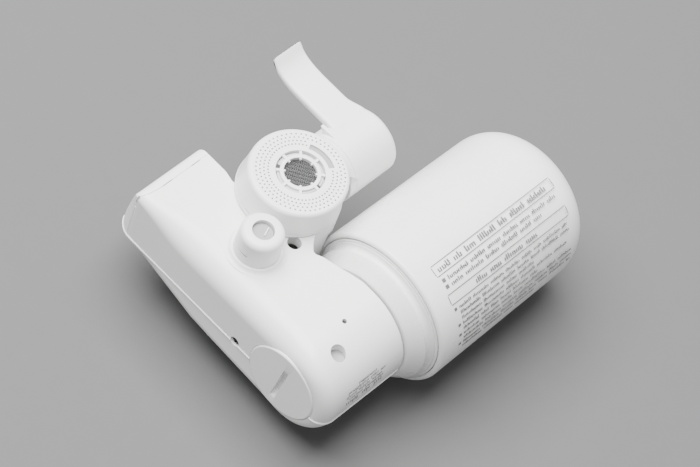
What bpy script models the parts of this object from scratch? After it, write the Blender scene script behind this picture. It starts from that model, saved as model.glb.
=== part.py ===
"""A tap-mounted water filter, lying as it rests on a table with its outlets up.

The object's own frame has +X along the cartridge to its domed end, +Y along the body to the display
end and +Z up. Lengths are in millimetres up to the helpers, which make metres of them.
"""

import math

import bmesh
import bpy
from mathutils import Vector

MM = 0.001
GAP = 0.3  # between pieces that touch on the real object
WALL = 2.0  # moulded casing wall
WELD = 0.001  # points this close are one

# Flat sides of round pieces, by how large they are
FINE = 32
MEDIUM = 20
COARSE = 16

# Cartridge: its axis runs along X, at y = 0
CARTRIDGE_Z = 31.4
CARTRIDGE_RADIUS = 31.4
CARTRIDGE_END_RADIUS = 30.5
CARTRIDGE_RIM_X = 19.7
CARTRIDGE_DOME_X = 90.3
CARTRIDGE_CORNER = 16.0
CARTRIDGE_TIP_X = 106.9
CARTRIDGE_WALL = 1.9
NECK_RADIUS = 28.9
NECK_END_RADIUS = 23.5
NECK_END_X = 10.2
SPIGOT_RADIUS = 17.2
SPIGOT_END_X = -6.8
SOCKET_RADIUS = 19.4
MEDIA_X = 24.4

# Body casing
CASE_LEFT_X = -30.46
CASE_RIGHT_X = 9.9
CASE_TOP_Z = 53.1
CASE_ROUND_RADIUS = CASE_TOP_Z - CARTRIDGE_Z
CASE_EDGE = 5.0
PARTING_Z = 27.9
CAP_SEAM_Y = 78.2
SLOPE_START = (45.0, 12.7)
SLOPE_END = (87.2, 23.9)
SLOPE_ANGLE = math.atan2(SLOPE_END[1] - SLOPE_START[1], SLOPE_END[0] - SLOPE_START[0])

# Head: its axis runs along Z, and carries the tap inlet below and the shower above
HEAD = (15.9, 47.6)
HEAD_CASE_RADIUS = 18.4
SHOWER_FACE_Z = 66.9
SHOWER_TOP = (15.6, 47.9)  # its wall leans and widens towards the body
SHOWER_TOP_RADIUS = 18.7
SHOWER_BASE = (14.6, 48.9)
SHOWER_BASE_RADIUS = 19.4
SHOWER_BASE_Z = 54.9
SHOWER_BORE = 16.4
LIP_RADIUS = 19.6
SLOT_RING_RADIUS = 9.2
AERATOR_HOLE_RADIUS = 6.2
NUT_RADIUS = 16.5
NUT_TOP_Z = 9.5
VALVE_RADIUS = 13.0
INLET_BORE = 9.0
WATERWAY_STEP_Z = 27.0

# Lever: its axis runs along X through the head
LEVER_Z = 51.5
LEVER_RADIUS = 13.1
LEVER_START_X = 36.5
LEVER_END_X = 58.5
HANDLE_X = (43.0, 56.0)
HANDLE_TIP_Y = 89.0
HANDLE_TIP_Z = 68.0
COLLAR_X = (33.0, 36.2)
POINTER_ANGLE = math.radians(144)
FIN_X = (37.7, 39.0)
BARREL_RADIUS = 9.5
SPOOL_RADIUS = 6.0
SPOOL_BORE = 6.3
O_RING_GROOVES_X = (9.5, 23.4, 31.9)

# Purified-water outlet and its meter
OUTLET = (-11.7, 38.5)
OUTLET_TOP_Z = 66.2
OUTLET_RADIUS = 8.6
OUTLET_HOLE = 4.14
METER_RADIUS = 7.0

# Holes in the casing's top
DRAIN = (1.4, 32.0)
DRAIN_RADIUS = 2.6
VENT = (-7.0, -2.2)
VENT_RADIUS = 0.9
HEAD_HOLE_RADIUS = 16.3
NOZZLE_HOLE_RADIUS = 5.2

# Duct that takes tap water to the cartridge: its x and z
RAW_DUCT = (-1.9, 38.5)

# Battery cover, on the cartridge axis at the casing's -X face
COVER_RADIUS = 15.6
COVER_FACE_X = CASE_LEFT_X - 0.45  # it stands a little proud of the casing
COIN_SLOT = (19.3, 2.0, 1.6)  # length, width, depth
COIN_SLOT_LEAN = math.radians(5.35)
COIN_CELL_RADIUS = 10.0

# Fasteners: (x, y) of the upright case screws, and (y, z) of the one across the parting line
CASE_SCREWS = ((-24.5, 36.0), (-14.0, 73.5), (-16.8, -9.5))
SIDE_SCREW = (23.3, 28.4)
SCREW_HEAD_RADIUS = 2.3
SCREW_SHANK_RADIUS = 1.2
CASE_THREAD_RADIUS = 1.5
END_RECESS_RADIUS = 3.0

# The box of the whole object is centred on the origin
CENTRE_X = (COVER_FACE_X + CARTRIDGE_TIP_X) / 2
CENTRE_Y = (HANDLE_TIP_Y - CARTRIDGE_RADIUS) / 2

AIM = {"X": (0, math.pi / 2, 0), "Y": (-math.pi / 2, 0, 0), "Z": (0, 0, 0)}
LAY = {"X": (math.pi / 2, 0, math.pi / 2), "Y": (math.pi / 2, 0, 0), "Z": (0, 0, 0)}


def clear_scene():
    for obj in list(bpy.data.objects):
        bpy.data.objects.remove(obj, do_unlink=True)


def new_collection(name):
    collection = bpy.data.collections.new(name)
    bpy.context.scene.collection.children.link(collection)
    return collection


def plastic(name, colour, roughness, metallic=0.0):
    material = bpy.data.materials.new(name)
    material.use_nodes = True
    shader = material.node_tree.nodes["Principled BSDF"]
    shader.inputs["Base Color"].default_value = (*colour, 1.0)
    shader.inputs["Roughness"].default_value = roughness
    shader.inputs["Metallic"].default_value = metallic
    return material


clear_scene()
PARTS = new_collection("tap_water_filter")
CUTTERS = new_collection("cutters")
ASSEMBLY = bpy.data.objects.new("assembly", None)
ASSEMBLY.location = (-CENTRE_X * MM, -CENTRE_Y * MM, 0)
PARTS.objects.link(ASSEMBLY)

WHITE = plastic("white_plastic", (0.83, 0.83, 0.82), 0.35)
NATURAL = plastic("natural_plastic", (0.62, 0.63, 0.62), 0.45)
GREY = plastic("grey_plastic", (0.35, 0.36, 0.37), 0.45)
CLEAR = plastic("display_glass", (0.10, 0.11, 0.11), 0.1)
RUBBER = plastic("rubber", (0.03, 0.03, 0.03), 0.7)
STEEL = plastic("steel", (0.6, 0.6, 0.6), 0.3, 1.0)
CARBON = plastic("activated_carbon", (0.02, 0.02, 0.02), 0.9)
FIBRE = plastic("fibre", (0.8, 0.79, 0.75), 0.8)
BOARD = plastic("circuit_board", (0.03, 0.2, 0.08), 0.5)


def placed(name, mesh, look, at, turn=(0, 0, 0), parent=ASSEMBLY):
    """Links the mesh at a place in its parent's frame; with no material it is a hidden helper."""
    obj = bpy.data.objects.new(name, mesh)
    obj.location = Vector(at) * MM
    obj.rotation_euler = turn
    obj.parent = parent
    if look is None:
        CUTTERS.objects.link(obj)
        obj.hide_render = True
        obj.display_type = "WIRE"
        return obj
    PARTS.objects.link(obj)
    mesh.materials.append(look)
    return obj


def turned(name, profile, look, at=(0, 0, 0), along="Z", steps=MEDIUM, ring=True):
    """A turned piece from (radius, height) points that run down its outer side."""
    mesh = bpy.data.meshes.new(name)
    points = [(radius * MM, 0, height * MM) for radius, height in profile]
    edges = [(i, i + 1) for i in range(len(points) - 1)]
    if ring:
        edges.append((len(points) - 1, 0))
    mesh.from_pydata(points, edges, [])
    obj = placed(name, mesh, look, at, AIM[along])
    screw = obj.modifiers.new("Turn", "SCREW")
    screw.steps = steps
    screw.render_steps = steps
    screw.use_merge_vertices = True
    screw.merge_threshold = 0.00001
    return obj


def tube(name, inner, outer, low, high, look, at=(0, 0, 0), along="Z", steps=MEDIUM):
    profile = [(outer, high), (outer, low), (inner, low), (inner, high)]
    return turned(name, profile, look, at, along, steps)


def disc(name, radius, low, high, look, at=(0, 0, 0), along="Z", steps=MEDIUM):
    profile = [(0, high), (radius, high), (radius, low), (0, low)]
    return turned(name, profile, look, at, along, steps, ring=False)


def cut_disc(name, radius, low, high, at=(0, 0, 0), along="Z", steps=MEDIUM):
    return disc(name + "_cutter", radius, low, high, None, at, along, steps)


def block(name, low, high, look, turn=(0, 0, 0), rounding=0.0, parent=ASSEMBLY):
    low, high = Vector(low), Vector(high)
    mesh = bpy.data.meshes.new(name)
    shape = bmesh.new()
    bmesh.ops.create_cube(shape, size=1.0)
    bmesh.ops.scale(shape, vec=(high - low) * MM, verts=shape.verts)
    shape.to_mesh(mesh)
    shape.free()
    obj = placed(name, mesh, look, (low + high) / 2, turn, parent)
    if rounding:
        bevel = obj.modifiers.new("Rounding", "BEVEL")
        bevel.width = rounding * MM
        bevel.segments = 2
    return obj


def prism(name, outline, low, high, look, along="Z", at=(0, 0, 0)):
    """A flat outline, in the plane across the given axis, made thick from low to high."""
    curve = bpy.data.curves.new(name, "CURVE")
    curve.dimensions = "2D"
    curve.fill_mode = "BOTH"
    curve.extrude = (high - low) / 2 * MM
    spline = curve.splines.new("POLY")
    spline.points.add(len(outline) - 1)
    for point, (across, up) in zip(spline.points, outline):
        point.co = (across * MM, up * MM, 0, 1)
    spline.use_cyclic_u = True
    guide = bpy.data.objects.new(name + "_outline", curve)
    PARTS.objects.link(guide)
    graph = bpy.context.evaluated_depsgraph_get()
    mesh = bpy.data.meshes.new_from_object(guide.evaluated_get(graph))
    bpy.data.objects.remove(guide, do_unlink=True)
    shape = bmesh.new()
    shape.from_mesh(mesh)
    bmesh.ops.remove_doubles(shape, verts=shape.verts, dist=WELD * MM)
    bmesh.ops.recalc_face_normals(shape, faces=shape.faces)
    if shape.calc_volume(signed=True) < 0:
        bmesh.ops.reverse_faces(shape, faces=shape.faces)
    shape.to_mesh(mesh)
    shape.free()
    middle = Vector(at)
    middle["XYZ".index(along)] += (low + high) / 2
    return placed(name, mesh, look, middle, LAY[along])


def leaning_cone(name, low, high, look, steps=FINE):
    """A solid between two level circles given as (x, y, z, radius)."""
    points = []
    for x, y, z, radius in (low, high):
        for across, up in arc((x, y), radius, 0, 360 - 360 / steps, steps - 1):
            points.append((across * MM, up * MM, z * MM))
    around = [(i, (i + 1) % steps) for i in range(steps)]
    faces = [(i, j, steps + j, steps + i) for i, j in around]
    faces += [tuple(reversed(range(steps))), tuple(range(steps, 2 * steps))]
    mesh = bpy.data.meshes.new(name)
    mesh.from_pydata(points, [], faces)
    return placed(name, mesh, look, (0, 0, 0))


def boolean(obj, helper, operation, solver="EXACT"):
    modifier = obj.modifiers.new(helper.name[:40], "BOOLEAN")
    modifier.operation = operation
    modifier.solver = solver
    modifier.object = helper


def cut(obj, *helpers):
    for helper in helpers:
        boolean(obj, helper, "DIFFERENCE")


def join(obj, *helpers):
    for helper in helpers:
        boolean(obj, helper, "UNION")


def arc(centre, radius, start, end, steps):
    """Points of an arc between two angles in degrees."""
    angles = [math.radians(start + (end - start) * i / steps) for i in range(steps + 1)]
    return [(centre[0] + radius * math.cos(a), centre[1] + radius * math.sin(a)) for a in angles]


def fillet(before, corner, after, radius, steps=3):
    """Points that round an outline's corner with an arc tangent to both of its sides."""
    before, corner, after = Vector(before), Vector(corner), Vector(after)
    back = (before - corner).normalized()
    ahead = (after - corner).normalized()
    half = back.angle(ahead) / 2
    centre = corner + (back + ahead).normalized() * radius / math.sin(half)
    start = (corner + back * radius / math.tan(half) - centre).normalized()
    end = (corner + ahead * radius / math.tan(half) - centre).normalized()
    return [tuple(centre + start.slerp(end, i / steps) * radius) for i in range(steps + 1)]


def inset(outline, distance):
    """A counter-clockwise outline moved inwards, with mitred corners."""
    moved = []
    for i, point in enumerate(outline):
        here = Vector(point)
        arriving = (here - Vector(outline[i - 1])).normalized()
        leaving = (Vector(outline[(i + 1) % len(outline)]) - here).normalized()
        side = Vector((-arriving.y, arriving.x))
        mitre = (side + Vector((-leaving.y, leaving.x))).normalized()
        moved.append(tuple(here + mitre * distance / mitre.dot(side)))
    return moved


def case_side_outline():
    """The casing seen along X, as (y, z): one round end, a flat top and a sloping display face."""
    slope_foot = (33.0, 11.7)
    end_top = (82.0, CASE_TOP_Z)
    return [
        slope_foot,
        SLOPE_START,
        *fillet(SLOPE_START, SLOPE_END, end_top, 7.0),
        *fillet(SLOPE_END, end_top, (0, CASE_TOP_Z), 6.0),
        *arc((0, CARTRIDGE_Z), CASE_ROUND_RADIUS, 90, 274, 16),
    ]


def case_plan_outline():
    """The casing seen along Z, as (x, y): open past its -X side, with the arm round the head."""
    outside = CASE_LEFT_X - 10.0
    return [
        (outside, -30.0),
        (CASE_RIGHT_X, -30.0),
        (CASE_RIGHT_X, 5.0),
        (8.6, 10.5),
        (7.1, 15.3),
        (5.6, 21.5),
        (3.8, 24.6),
        (6.6, 27.4),
        *arc(HEAD, HEAD_CASE_RADIUS, -108, 131, 18),
        (1.4, 63.8),
        (2.5, 68.0),
        *fillet((2.5, 68.0), (2.5, 86.5), (-20.0, 86.5), 8.0),
        (outside, 86.5),
    ]


def case_solid(name, look, inwards):
    side = inset(case_side_outline(), inwards) if inwards else case_side_outline()
    plan = inset(case_plan_outline(), inwards) if inwards else case_plan_outline()
    solid = prism(name, side, CASE_LEFT_X + inwards, 45.0, look, along="X")
    bevel = solid.modifiers.new("Edge", "BEVEL")
    bevel.width = (CASE_EDGE - inwards / 2) * MM
    bevel.segments = 2
    bevel.limit_method = "ANGLE"
    bevel.angle_limit = math.radians(60)
    boolean(solid, prism(name + "_plan", plan, -5.0, 80.0, None), "INTERSECT")
    room = CARTRIDGE_RADIUS + 1.0 + inwards
    start = CARTRIDGE_RIM_X - 1.1 - inwards
    cut(solid, cut_disc(name + "_cartridge_room", room, start, 60.0, (0, 0, CARTRIDGE_Z), "X", FINE))
    return solid


def side_screw_boss():
    """Half of it is in each shell, and the screw pulls the two together."""
    return disc("side_screw_boss", 2.9, -29.5, -18.4, None, (0, *SIDE_SCREW), "X", COARSE)


def case_shell(name, cavity):
    shell = case_solid(name, WHITE, 0.0)
    cut(shell, cavity)
    return shell


def collar_opening():
    return cut_disc("collar_opening", LEVER_RADIUS + GAP, 26.0, 45.0, (0, HEAD[1], LEVER_Z), "X", FINE)


def drain_hole():
    """A hole for spilt water, part of it under the head's lip."""
    return cut_disc("drain_hole", DRAIN_RADIUS, 48.0, 56.0, (*DRAIN, 0), steps=COARSE)


def make_case():
    cavity = case_solid("case_cavity", None, WALL)
    below = block("below_parting", (-60, -60, -10), (60, 120, PARTING_Z + GAP / 2), None)
    above = block("above_parting", (-60, -60, PARTING_Z - GAP / 2), (60, 120, 90), None)
    beyond = block("beyond_seam", (-60, CAP_SEAM_Y - GAP / 2, -10), (60, 120, 90), None)
    before = block("before_seam", (-60, -60, -10), (60, CAP_SEAM_Y + GAP / 2, 90), None)
    cover_hole = cut_disc("cover_hole", COVER_RADIUS + GAP, -35.0, -27.0, (0, 0, CARTRIDGE_Z), "X", FINE)
    socket_hole = cut_disc("socket_hole", SOCKET_RADIUS + GAP, 0.0, 15.0, (0, 0, CARTRIDGE_Z), "X", FINE)
    side_hole = cut_disc("side_screw_hole", 2.15, -35.0, -27.6, (0, *SIDE_SCREW), "X", COARSE)
    side_thread = cut_disc("side_screw_thread", 1.2, -28.0, -15.0, (0, *SIDE_SCREW), "X", 12)

    upper = case_shell("upper_shell", cavity)
    join(upper, side_screw_boss())
    cut(upper, below, beyond)
    for number, (x, y) in enumerate(CASE_SCREWS):
        from_top = number == 2
        top = 48.3 if from_top else CASE_TOP_Z - 1.0
        radius = 3.7 if from_top else 3.2
        join(upper, disc(f"upper_boss_{number}", radius, 28.2, top, None, (x, y, 0), steps=COARSE))
        bore_top = 60.0 if from_top else 38.0
        thread = cut_disc(f"upper_thread_{number}", CASE_THREAD_RADIUS, 25.0, bore_top, (x, y, 0), steps=12)
        cut(upper, thread)
        if from_top:
            cut(upper, cut_disc("end_recess", END_RECESS_RADIUS, 44.5, 60.0, (x, y, 0), steps=COARSE))
    cut(upper, cover_hole, socket_hole, side_hole, side_thread, collar_opening(), drain_hole())
    cut(upper, cut_disc("head_hole", HEAD_HOLE_RADIUS, 50.0, 60.0, (*HEAD, 0)))
    cut(upper, cut_disc("outlet_hole", NOZZLE_HOLE_RADIUS, 50.0, 60.0, (*OUTLET, 0), steps=COARSE))
    cut(upper, cut_disc("vent_hole", VENT_RADIUS, 48.0, 60.0, (*VENT, 0), steps=10))

    cap = case_shell("front_cap", cavity)
    cut(cap, below, before)

    lower = case_shell("lower_shell", cavity)
    join(lower, side_screw_boss())
    cut(lower, above)
    for number, (x, y) in enumerate(CASE_SCREWS):
        foot = (12.9, 21.4, 14.6)[number]
        join(lower, disc(f"lower_boss_{number}", 3.3, foot, 27.6, None, (x, y, 0), steps=COARSE))
        bottom = 17.0 if number == 2 else 0.0
        thread = cut_disc(f"lower_thread_{number}", CASE_THREAD_RADIUS, bottom, 40.0, (x, y, 0), steps=12)
        cut(lower, thread)
        if number != 2:
            step = (19.0, 24.5)[number]
            cut(lower, cut_disc(f"screw_head_hole_{number}", 2.7, 0.0, step, (x, y, 0), steps=COARSE))
    cut(lower, cover_hole, socket_hole, side_hole, side_thread)
    cut(lower, cut_disc("inlet_hole", VALVE_RADIUS + 0.5, 5.0, 22.0, (*HEAD, 0), steps=MEDIUM))
    cut(lower, display_recess(), display_opening(), button_opening())


def screw(name, head, shank, at, along="Z"):
    """A screw from (radius, low, high) of its head and its shank, head first along the axis."""
    head_radius, head_low, head_high = head
    shank_radius, shank_low, shank_high = shank
    if shank_low < head_low:
        profile = [(0, head_high), (head_radius, head_high), (head_radius, head_low)]
        profile += [(shank_radius, head_low), (shank_radius, shank_low), (0, shank_low)]
    else:
        profile = [(0, shank_high), (shank_radius, shank_high), (shank_radius, head_high)]
        profile += [(head_radius, head_high), (head_radius, head_low), (0, head_low)]
    return turned(name, profile, STEEL, at, along, 12, ring=False)


def make_fasteners():
    head, shank = SCREW_HEAD_RADIUS, SCREW_SHANK_RADIUS
    screw("case_screw_1", (head, 16.6, 18.7), (shank, 18.7, 36.0), (*CASE_SCREWS[0], 0))
    screw("case_screw_2", (head, 22.1, 24.2), (shank, 24.2, 36.0), (*CASE_SCREWS[1], 0))
    screw("case_screw_3", (head, 44.8, 46.4), (shank, 19.0, 44.8), (*CASE_SCREWS[2], 0))
    screw("side_screw", (1.85, -29.4, -27.8), (0.9, -27.8, -19.0), (0, *SIDE_SCREW), "X")
    disc("screw_plug", END_RECESS_RADIUS - GAP, 46.7, 48.5, GREY, (*CASE_SCREWS[2], 0), steps=COARSE)


def display_frame():
    """An empty on the outside of the sloping face, its Y up the slope and its Z into the case."""
    empty = bpy.data.objects.new("display_frame", None)
    along = 16.0
    rise = math.tan(SLOPE_ANGLE) * along
    empty.location = Vector((-12.5, SLOPE_START[0] + along, SLOPE_START[1] + rise)) * MM
    empty.rotation_euler.x = SLOPE_ANGLE
    empty.parent = ASSEMBLY
    PARTS.objects.link(empty)
    return empty


DISPLAY = display_frame()
BUTTON_Y = -12.5


def display_recess():
    return block("display_recess", (-11, -7.5, -3), (11, 7.5, 1.4), None, parent=DISPLAY)


def display_opening():
    return block("display_opening", (-9, -5.5, -3), (9, 5.5, 6), None, parent=DISPLAY)


def on_display(obj, at=(0, 0, 0)):
    obj.parent = DISPLAY
    obj.location = Vector(at) * MM
    return obj


def button_opening():
    return on_display(cut_disc("button_opening", 3.4, -4.0, 6.0, steps=COARSE), (0, BUTTON_Y, 0))


def make_display():
    block("display_window", (-10.7, -7.2, 0.0), (10.7, 7.2, 1.1), CLEAR, rounding=0.3, parent=DISPLAY)
    block("lcd_panel", (-10.0, -6.8, 2.4), (10.0, 6.8, 4.2), GREY, parent=DISPLAY)
    block("circuit_board", (-10.5, -16.0, 6.3), (10.5, 9.0, 7.9), BOARD, parent=DISPLAY)
    switch_low = (-3, BUTTON_Y - 3, 4.9)
    switch_high = (3, BUTTON_Y + 3, 6.0)
    block("button_switch", switch_low, switch_high, GREY, parent=DISPLAY)
    profile = [(0, 4.1), (1.2, 4.1), (1.2, 3.2), (4.3, 3.2), (4.3, 2.4), (3.0, 2.4)]
    profile += [(3.0, -0.5), (2.5, -0.9), (0, -0.9)]
    button = turned("reset_button", profile, GREY, steps=COARSE, ring=False)
    on_display(button, (0, BUTTON_Y, 0))


def make_battery():
    at = (0, 0, CARTRIDGE_Z)
    holder = [(0, -20.5), (14.4, -20.5), (14.4, -26.7), (16.4, -26.7), (16.4, -27.9)]
    holder += [(13.0, -27.9), (13.0, -21.8), (0, -21.8)]
    turned("battery_holder", holder, GREY, at, "X", ring=False)
    disc("coin_cell", COIN_CELL_RADIUS, -25.3, -22.8, STEEL, at, "X")
    tube("battery_contact", 1.5, 5.0, -22.5, -22.1, STEEL, at, "X", COARSE)
    profile = [(0, -25.6), (12.4, -25.6), (12.4, -26.0), (11.0, -26.0), (11.0, -27.5)]
    profile += [(12.4, -27.5), (12.4, -28.5), (COVER_RADIUS, -28.5)]
    profile += [(COVER_RADIUS, CASE_LEFT_X), (COVER_RADIUS - 0.45, COVER_FACE_X), (0, COVER_FACE_X)]
    cover = turned("battery_cover", profile, WHITE, at, "X", FINE, ring=False)
    length, width, depth = COIN_SLOT
    low = (COVER_FACE_X - 1, (0.6 - width) / 2, CARTRIDGE_Z - 1.4 - length / 2)
    high = (COVER_FACE_X + depth, (0.6 + width) / 2, CARTRIDGE_Z - 1.4 + length / 2)
    cut(cover, block("coin_slot", low, high, None, turn=(COIN_SLOT_LEAN, 0, 0)))
    tube("battery_cover_seal", 11.3, 12.7, -27.3, -26.2, RUBBER, at, "X")


def cartridge_profile(inwards):
    """The cartridge shell's outline from its tip to its dome's foot, moved in by a wall."""
    flat = CARTRIDGE_END_RADIUS - CARTRIDGE_CORNER
    corner = CARTRIDGE_CORNER - inwards
    points = [(0, CARTRIDGE_TIP_X - inwards)]
    for step in range(6):
        angle = math.radians(18 * step)
        points.append((flat + corner * math.sin(angle), CARTRIDGE_DOME_X + corner * math.cos(angle)))
    return points


def make_cartridge():
    at = (0, 0, CARTRIDGE_Z)
    outer = cartridge_profile(0.0) + [(CARTRIDGE_RADIUS, 22.0), (31.2, 20.3), (30.5, CARTRIDGE_RIM_X)]
    inner_radius = CARTRIDGE_RADIUS - CARTRIDGE_WALL
    inner = [(inner_radius, CARTRIDGE_RIM_X), (inner_radius, 40.0)]
    inner += reversed(cartridge_profile(CARTRIDGE_WALL))
    turned("cartridge_shell", outer + inner, WHITE, at, "X", FINE, ring=False)
    base = [(NECK_RADIUS, 24.0), (NECK_RADIUS, 19.0), (28.3, 17.0), (26.6, 13.4)]
    base += [(NECK_END_RADIUS, 10.6), (22.9, NECK_END_X), (SPIGOT_RADIUS, NECK_END_X)]
    base += [(SPIGOT_RADIUS, -1.0), (15.0, -1.0), (15.0, -3.6), (SPIGOT_RADIUS, -3.6)]
    base += [(SPIGOT_RADIUS, SPIGOT_END_X), (4.0, SPIGOT_END_X), (4.0, 24.0)]
    turned("cartridge_base", base, NATURAL, at, "X", FINE)
    tube("cartridge_seal", 15.3, 17.35, -3.2, -1.4, RUBBER, at, "X", MEDIUM)
    tube("fibre_case", 14.6, 16.2, MEDIA_X, 74.0, GREY, at, "X", COARSE)
    disc("hollow_fibre_bundle", 14.2, MEDIA_X, 73.5, FIBRE, at, "X", COARSE)
    tube("carbon_block", 16.6, 27.2, MEDIA_X, 72.0, CARBON, at, "X", MEDIUM)
    tube("prefilter_sleeve", 27.7, 28.4, MEDIA_X, 72.0, FIBRE, at, "X", MEDIUM)
    disc("media_end_disc", 28.3, 74.6, 76.6, NATURAL, at, "X", MEDIUM)


def make_socket_and_ducts():
    axis = (0, 0, CARTRIDGE_Z)
    profile = [(0, -7.5), (17.6, -7.5), (17.6, 9.6), (SOCKET_RADIUS, 9.6)]
    profile += [(SOCKET_RADIUS, -10.0), (0, -10.0)]
    socket = turned("cartridge_socket", profile, NATURAL, axis, "X", FINE, ring=False)
    raw_x, raw_z = RAW_DUCT
    cut(socket, cut_disc("purified_port", 2.0, -12.0, -6.0, axis, "X", COARSE))
    cut(socket, cut_disc("raw_port", 1.3, 15.0, 22.0, (raw_x, 0, raw_z), "Y", 12))
    tube("purified_duct", 1.8, 3.0, -2.5, 31.1, NATURAL, (-14.5, 0, 31.0), "Y", COARSE)
    raw = disc("raw_water_duct", 2.2, 20.3, 50.0, NATURAL, (raw_x, 0, raw_z), "Y", COARSE)
    join(raw, disc("raw_elbow", 2.1, raw_x, 2.4, None, (0, HEAD[1], raw_z), "X", COARSE))
    cut(raw, cut_disc("raw_bore", 1.3, 15.0, 48.6, (raw_x, 0, raw_z), "Y", 12))
    cut(raw, cut_disc("raw_elbow_bore", 1.2, raw_x, 5.0, (0, HEAD[1], raw_z), "X", 12))


def make_outlet():
    at = (*OUTLET, 0)
    cap = [(6.4, OUTLET_TOP_Z), (7.8, 65.4), (8.5, 63.8), (OUTLET_RADIUS, 53.4), (6.6, 53.4)]
    cap += [(6.6, 61.5), (OUTLET_HOLE, 61.5), (OUTLET_HOLE, OUTLET_TOP_Z)]
    turned("outlet_cap", cap, WHITE, at)
    tube("outlet_tube", 3.4, 4.6, 37.2, 61.2, NATURAL, at, steps=COARSE)
    inside = METER_RADIUS - 1.0
    meter = [(0, 25.2), (inside, 25.2), (inside, 36.9), (METER_RADIUS, 36.9), (METER_RADIUS, 24.0)]
    case = turned("flow_meter_case", meter + [(0, 24.0)], NATURAL, at, steps=COARSE, ring=False)
    cut(case, cut_disc("meter_inlet", 1.7, 29.0, 34.5, (-14.5, 0, 31.0), "Y", 12))
    impeller = disc("flow_impeller", 1.8, 26.2, 35.6, GREY, at, steps=12)
    for turn in (0, math.pi / 2):
        low = (OUTLET[0] - 5.3, OUTLET[1] - 0.5, 27.0)
        high = (OUTLET[0] + 5.3, OUTLET[1] + 0.5, 34.8)
        join(impeller, block("impeller_blades", low, high, None, turn=(0, 0, turn + 0.3)))
    cut(impeller, cut_disc("impeller_bore", 0.9, 20.0, 40.0, at, steps=8))
    disc("impeller_axle", 0.55, 25.5, 36.6, STEEL, at, steps=8)


def make_valve():
    head = (*HEAD, 0)
    axis = (0, HEAD[1], LEVER_Z)
    body = disc("valve_body", VALVE_RADIUS, 4.6, 46.0, NATURAL, head, steps=MEDIUM)
    join(body, disc("spool_barrel", BARREL_RADIUS, 3.3, 35.5, None, axis, "X", MEDIUM))
    cut(body, cut_disc("inlet_bore", INLET_BORE, 0.0, WATERWAY_STEP_Z, head, steps=MEDIUM))
    cut(body, cut_disc("spool_bore", SPOOL_BORE, 5.8, 40.0, axis, "X", MEDIUM))
    waterway = cut_disc("waterway", 4.3, WATERWAY_STEP_Z - 2, 65.0, head, steps=18)
    raw_outlet = cut_disc("raw_outlet", 1.25, 0.0, 14.0, (0, HEAD[1], RAW_DUCT[1]), "X", 12)
    for helper in (waterway, raw_outlet):
        boolean(body, helper, "DIFFERENCE", "MANIFOLD")
    collar = tube("selector_collar", 9.8, LEVER_RADIUS, *COLLAR_X, WHITE, axis, "X", FINE)
    away = Vector((0, math.cos(POINTER_ANGLE), math.sin(POINTER_ANGLE))) * (LEVER_RADIUS + 0.2)
    middle = Vector((sum(COLLAR_X) / 2, *axis[1:])) + away
    half = Vector((1.2, 0.9, 0.9))
    join(collar, block("pointer_lug", middle - half, middle + half, None, turn=(POINTER_ANGLE, 0, 0)))
    tube("inlet_gasket", 8.6, 10.7, 2.3, 4.3, RUBBER, head)
    disc("inlet_strainer", 8.6, WATERWAY_STEP_Z - 1.0, WATERWAY_STEP_Z - 0.4, STEEL, head, steps=COARSE)
    nut = [(16.1, NUT_TOP_Z), (NUT_RADIUS, 9.1), (NUT_RADIUS, 0.8), (15.7, 0.0), (11.0, 0.0)]
    nut += [(11.0, 2.0), (VALVE_RADIUS + 0.4, 2.0), (VALVE_RADIUS + 0.4, NUT_TOP_Z)]
    turned("inlet_nut", nut, GREY, head, steps=FINE)


def handle_outline():
    """The lever's handle seen along X, as (y, z) from the lever's axis, curling up at its tip."""
    top = [(0, 10.2), (8.0, 10.6), (22.0, 10.7), (30.0, 11.0), (35.0, 12.2), (38.4, 14.2)]
    tip = [(HANDLE_TIP_Y - HEAD[1] - 0.8, HANDLE_TIP_Z - LEVER_Z), (HANDLE_TIP_Y - HEAD[1], 15.3)]
    under = [(38.4, 11.2), (34.0, 8.7), (29.0, 7.6), (22.0, 7.3), (8.0, 7.0), (0, 6.8)]
    return list(reversed(top + tip + under))


def make_lever():
    axis = (0, HEAD[1], LEVER_Z)
    profile = [(3.4, LEVER_END_X), (10.6, LEVER_END_X), (12.4, 57.8), (LEVER_RADIUS, 56.0)]
    profile += [(LEVER_RADIUS, 37.2), (12.4, LEVER_START_X), (4.1, LEVER_START_X), (4.1, 50.0)]
    profile += [(1.6, 50.0), (1.6, 55.0), (3.4, 55.0)]
    lever = turned("lever", profile, WHITE, axis, "X", FINE)
    join(lever, prism("lever_handle", handle_outline(), *HANDLE_X, None, "X", axis))
    fin = [(2.6, 10.5), (8.0, 9.0), (10.6, 12.5), (2.9, 12.75)]
    join(lever, prism("lever_fin", fin, *FIN_X, None, "X", axis))
    cut(lever, cut_disc("lever_bore", 4.1, 36.0, 50.0, axis, "X", MEDIUM))
    shaft = [(0, 42.0), (1.5, 42.0), (1.5, 49.7), (3.8, 49.7), (3.8, COLLAR_X[1])]
    shaft += [(SPOOL_RADIUS, COLLAR_X[1])]
    for x in reversed(O_RING_GROOVES_X):
        shaft += [(SPOOL_RADIUS, x + 0.9), (4.6, x + 0.9), (4.6, x - 0.9), (SPOOL_RADIUS, x - 0.9)]
    shaft += [(SPOOL_RADIUS, 6.2), (0, 6.2)]
    spool = turned("selector_shaft", shaft, GREY, axis, "X", MEDIUM, ring=False)
    cut(spool, cut_disc("spool_port", 2.5, 40.0, 60.0, (*HEAD, 0), steps=12))
    for number, x in enumerate(O_RING_GROOVES_X, 1):
        tube(f"spool_o_ring_{number}", 4.9, 6.12, x - 0.6, x + 0.6, RUBBER, axis, "X", MEDIUM)
    screw("lever_screw", (3.0, 55.3, 57.6), (1.2, 44.0, 55.3), axis, "X")


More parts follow.
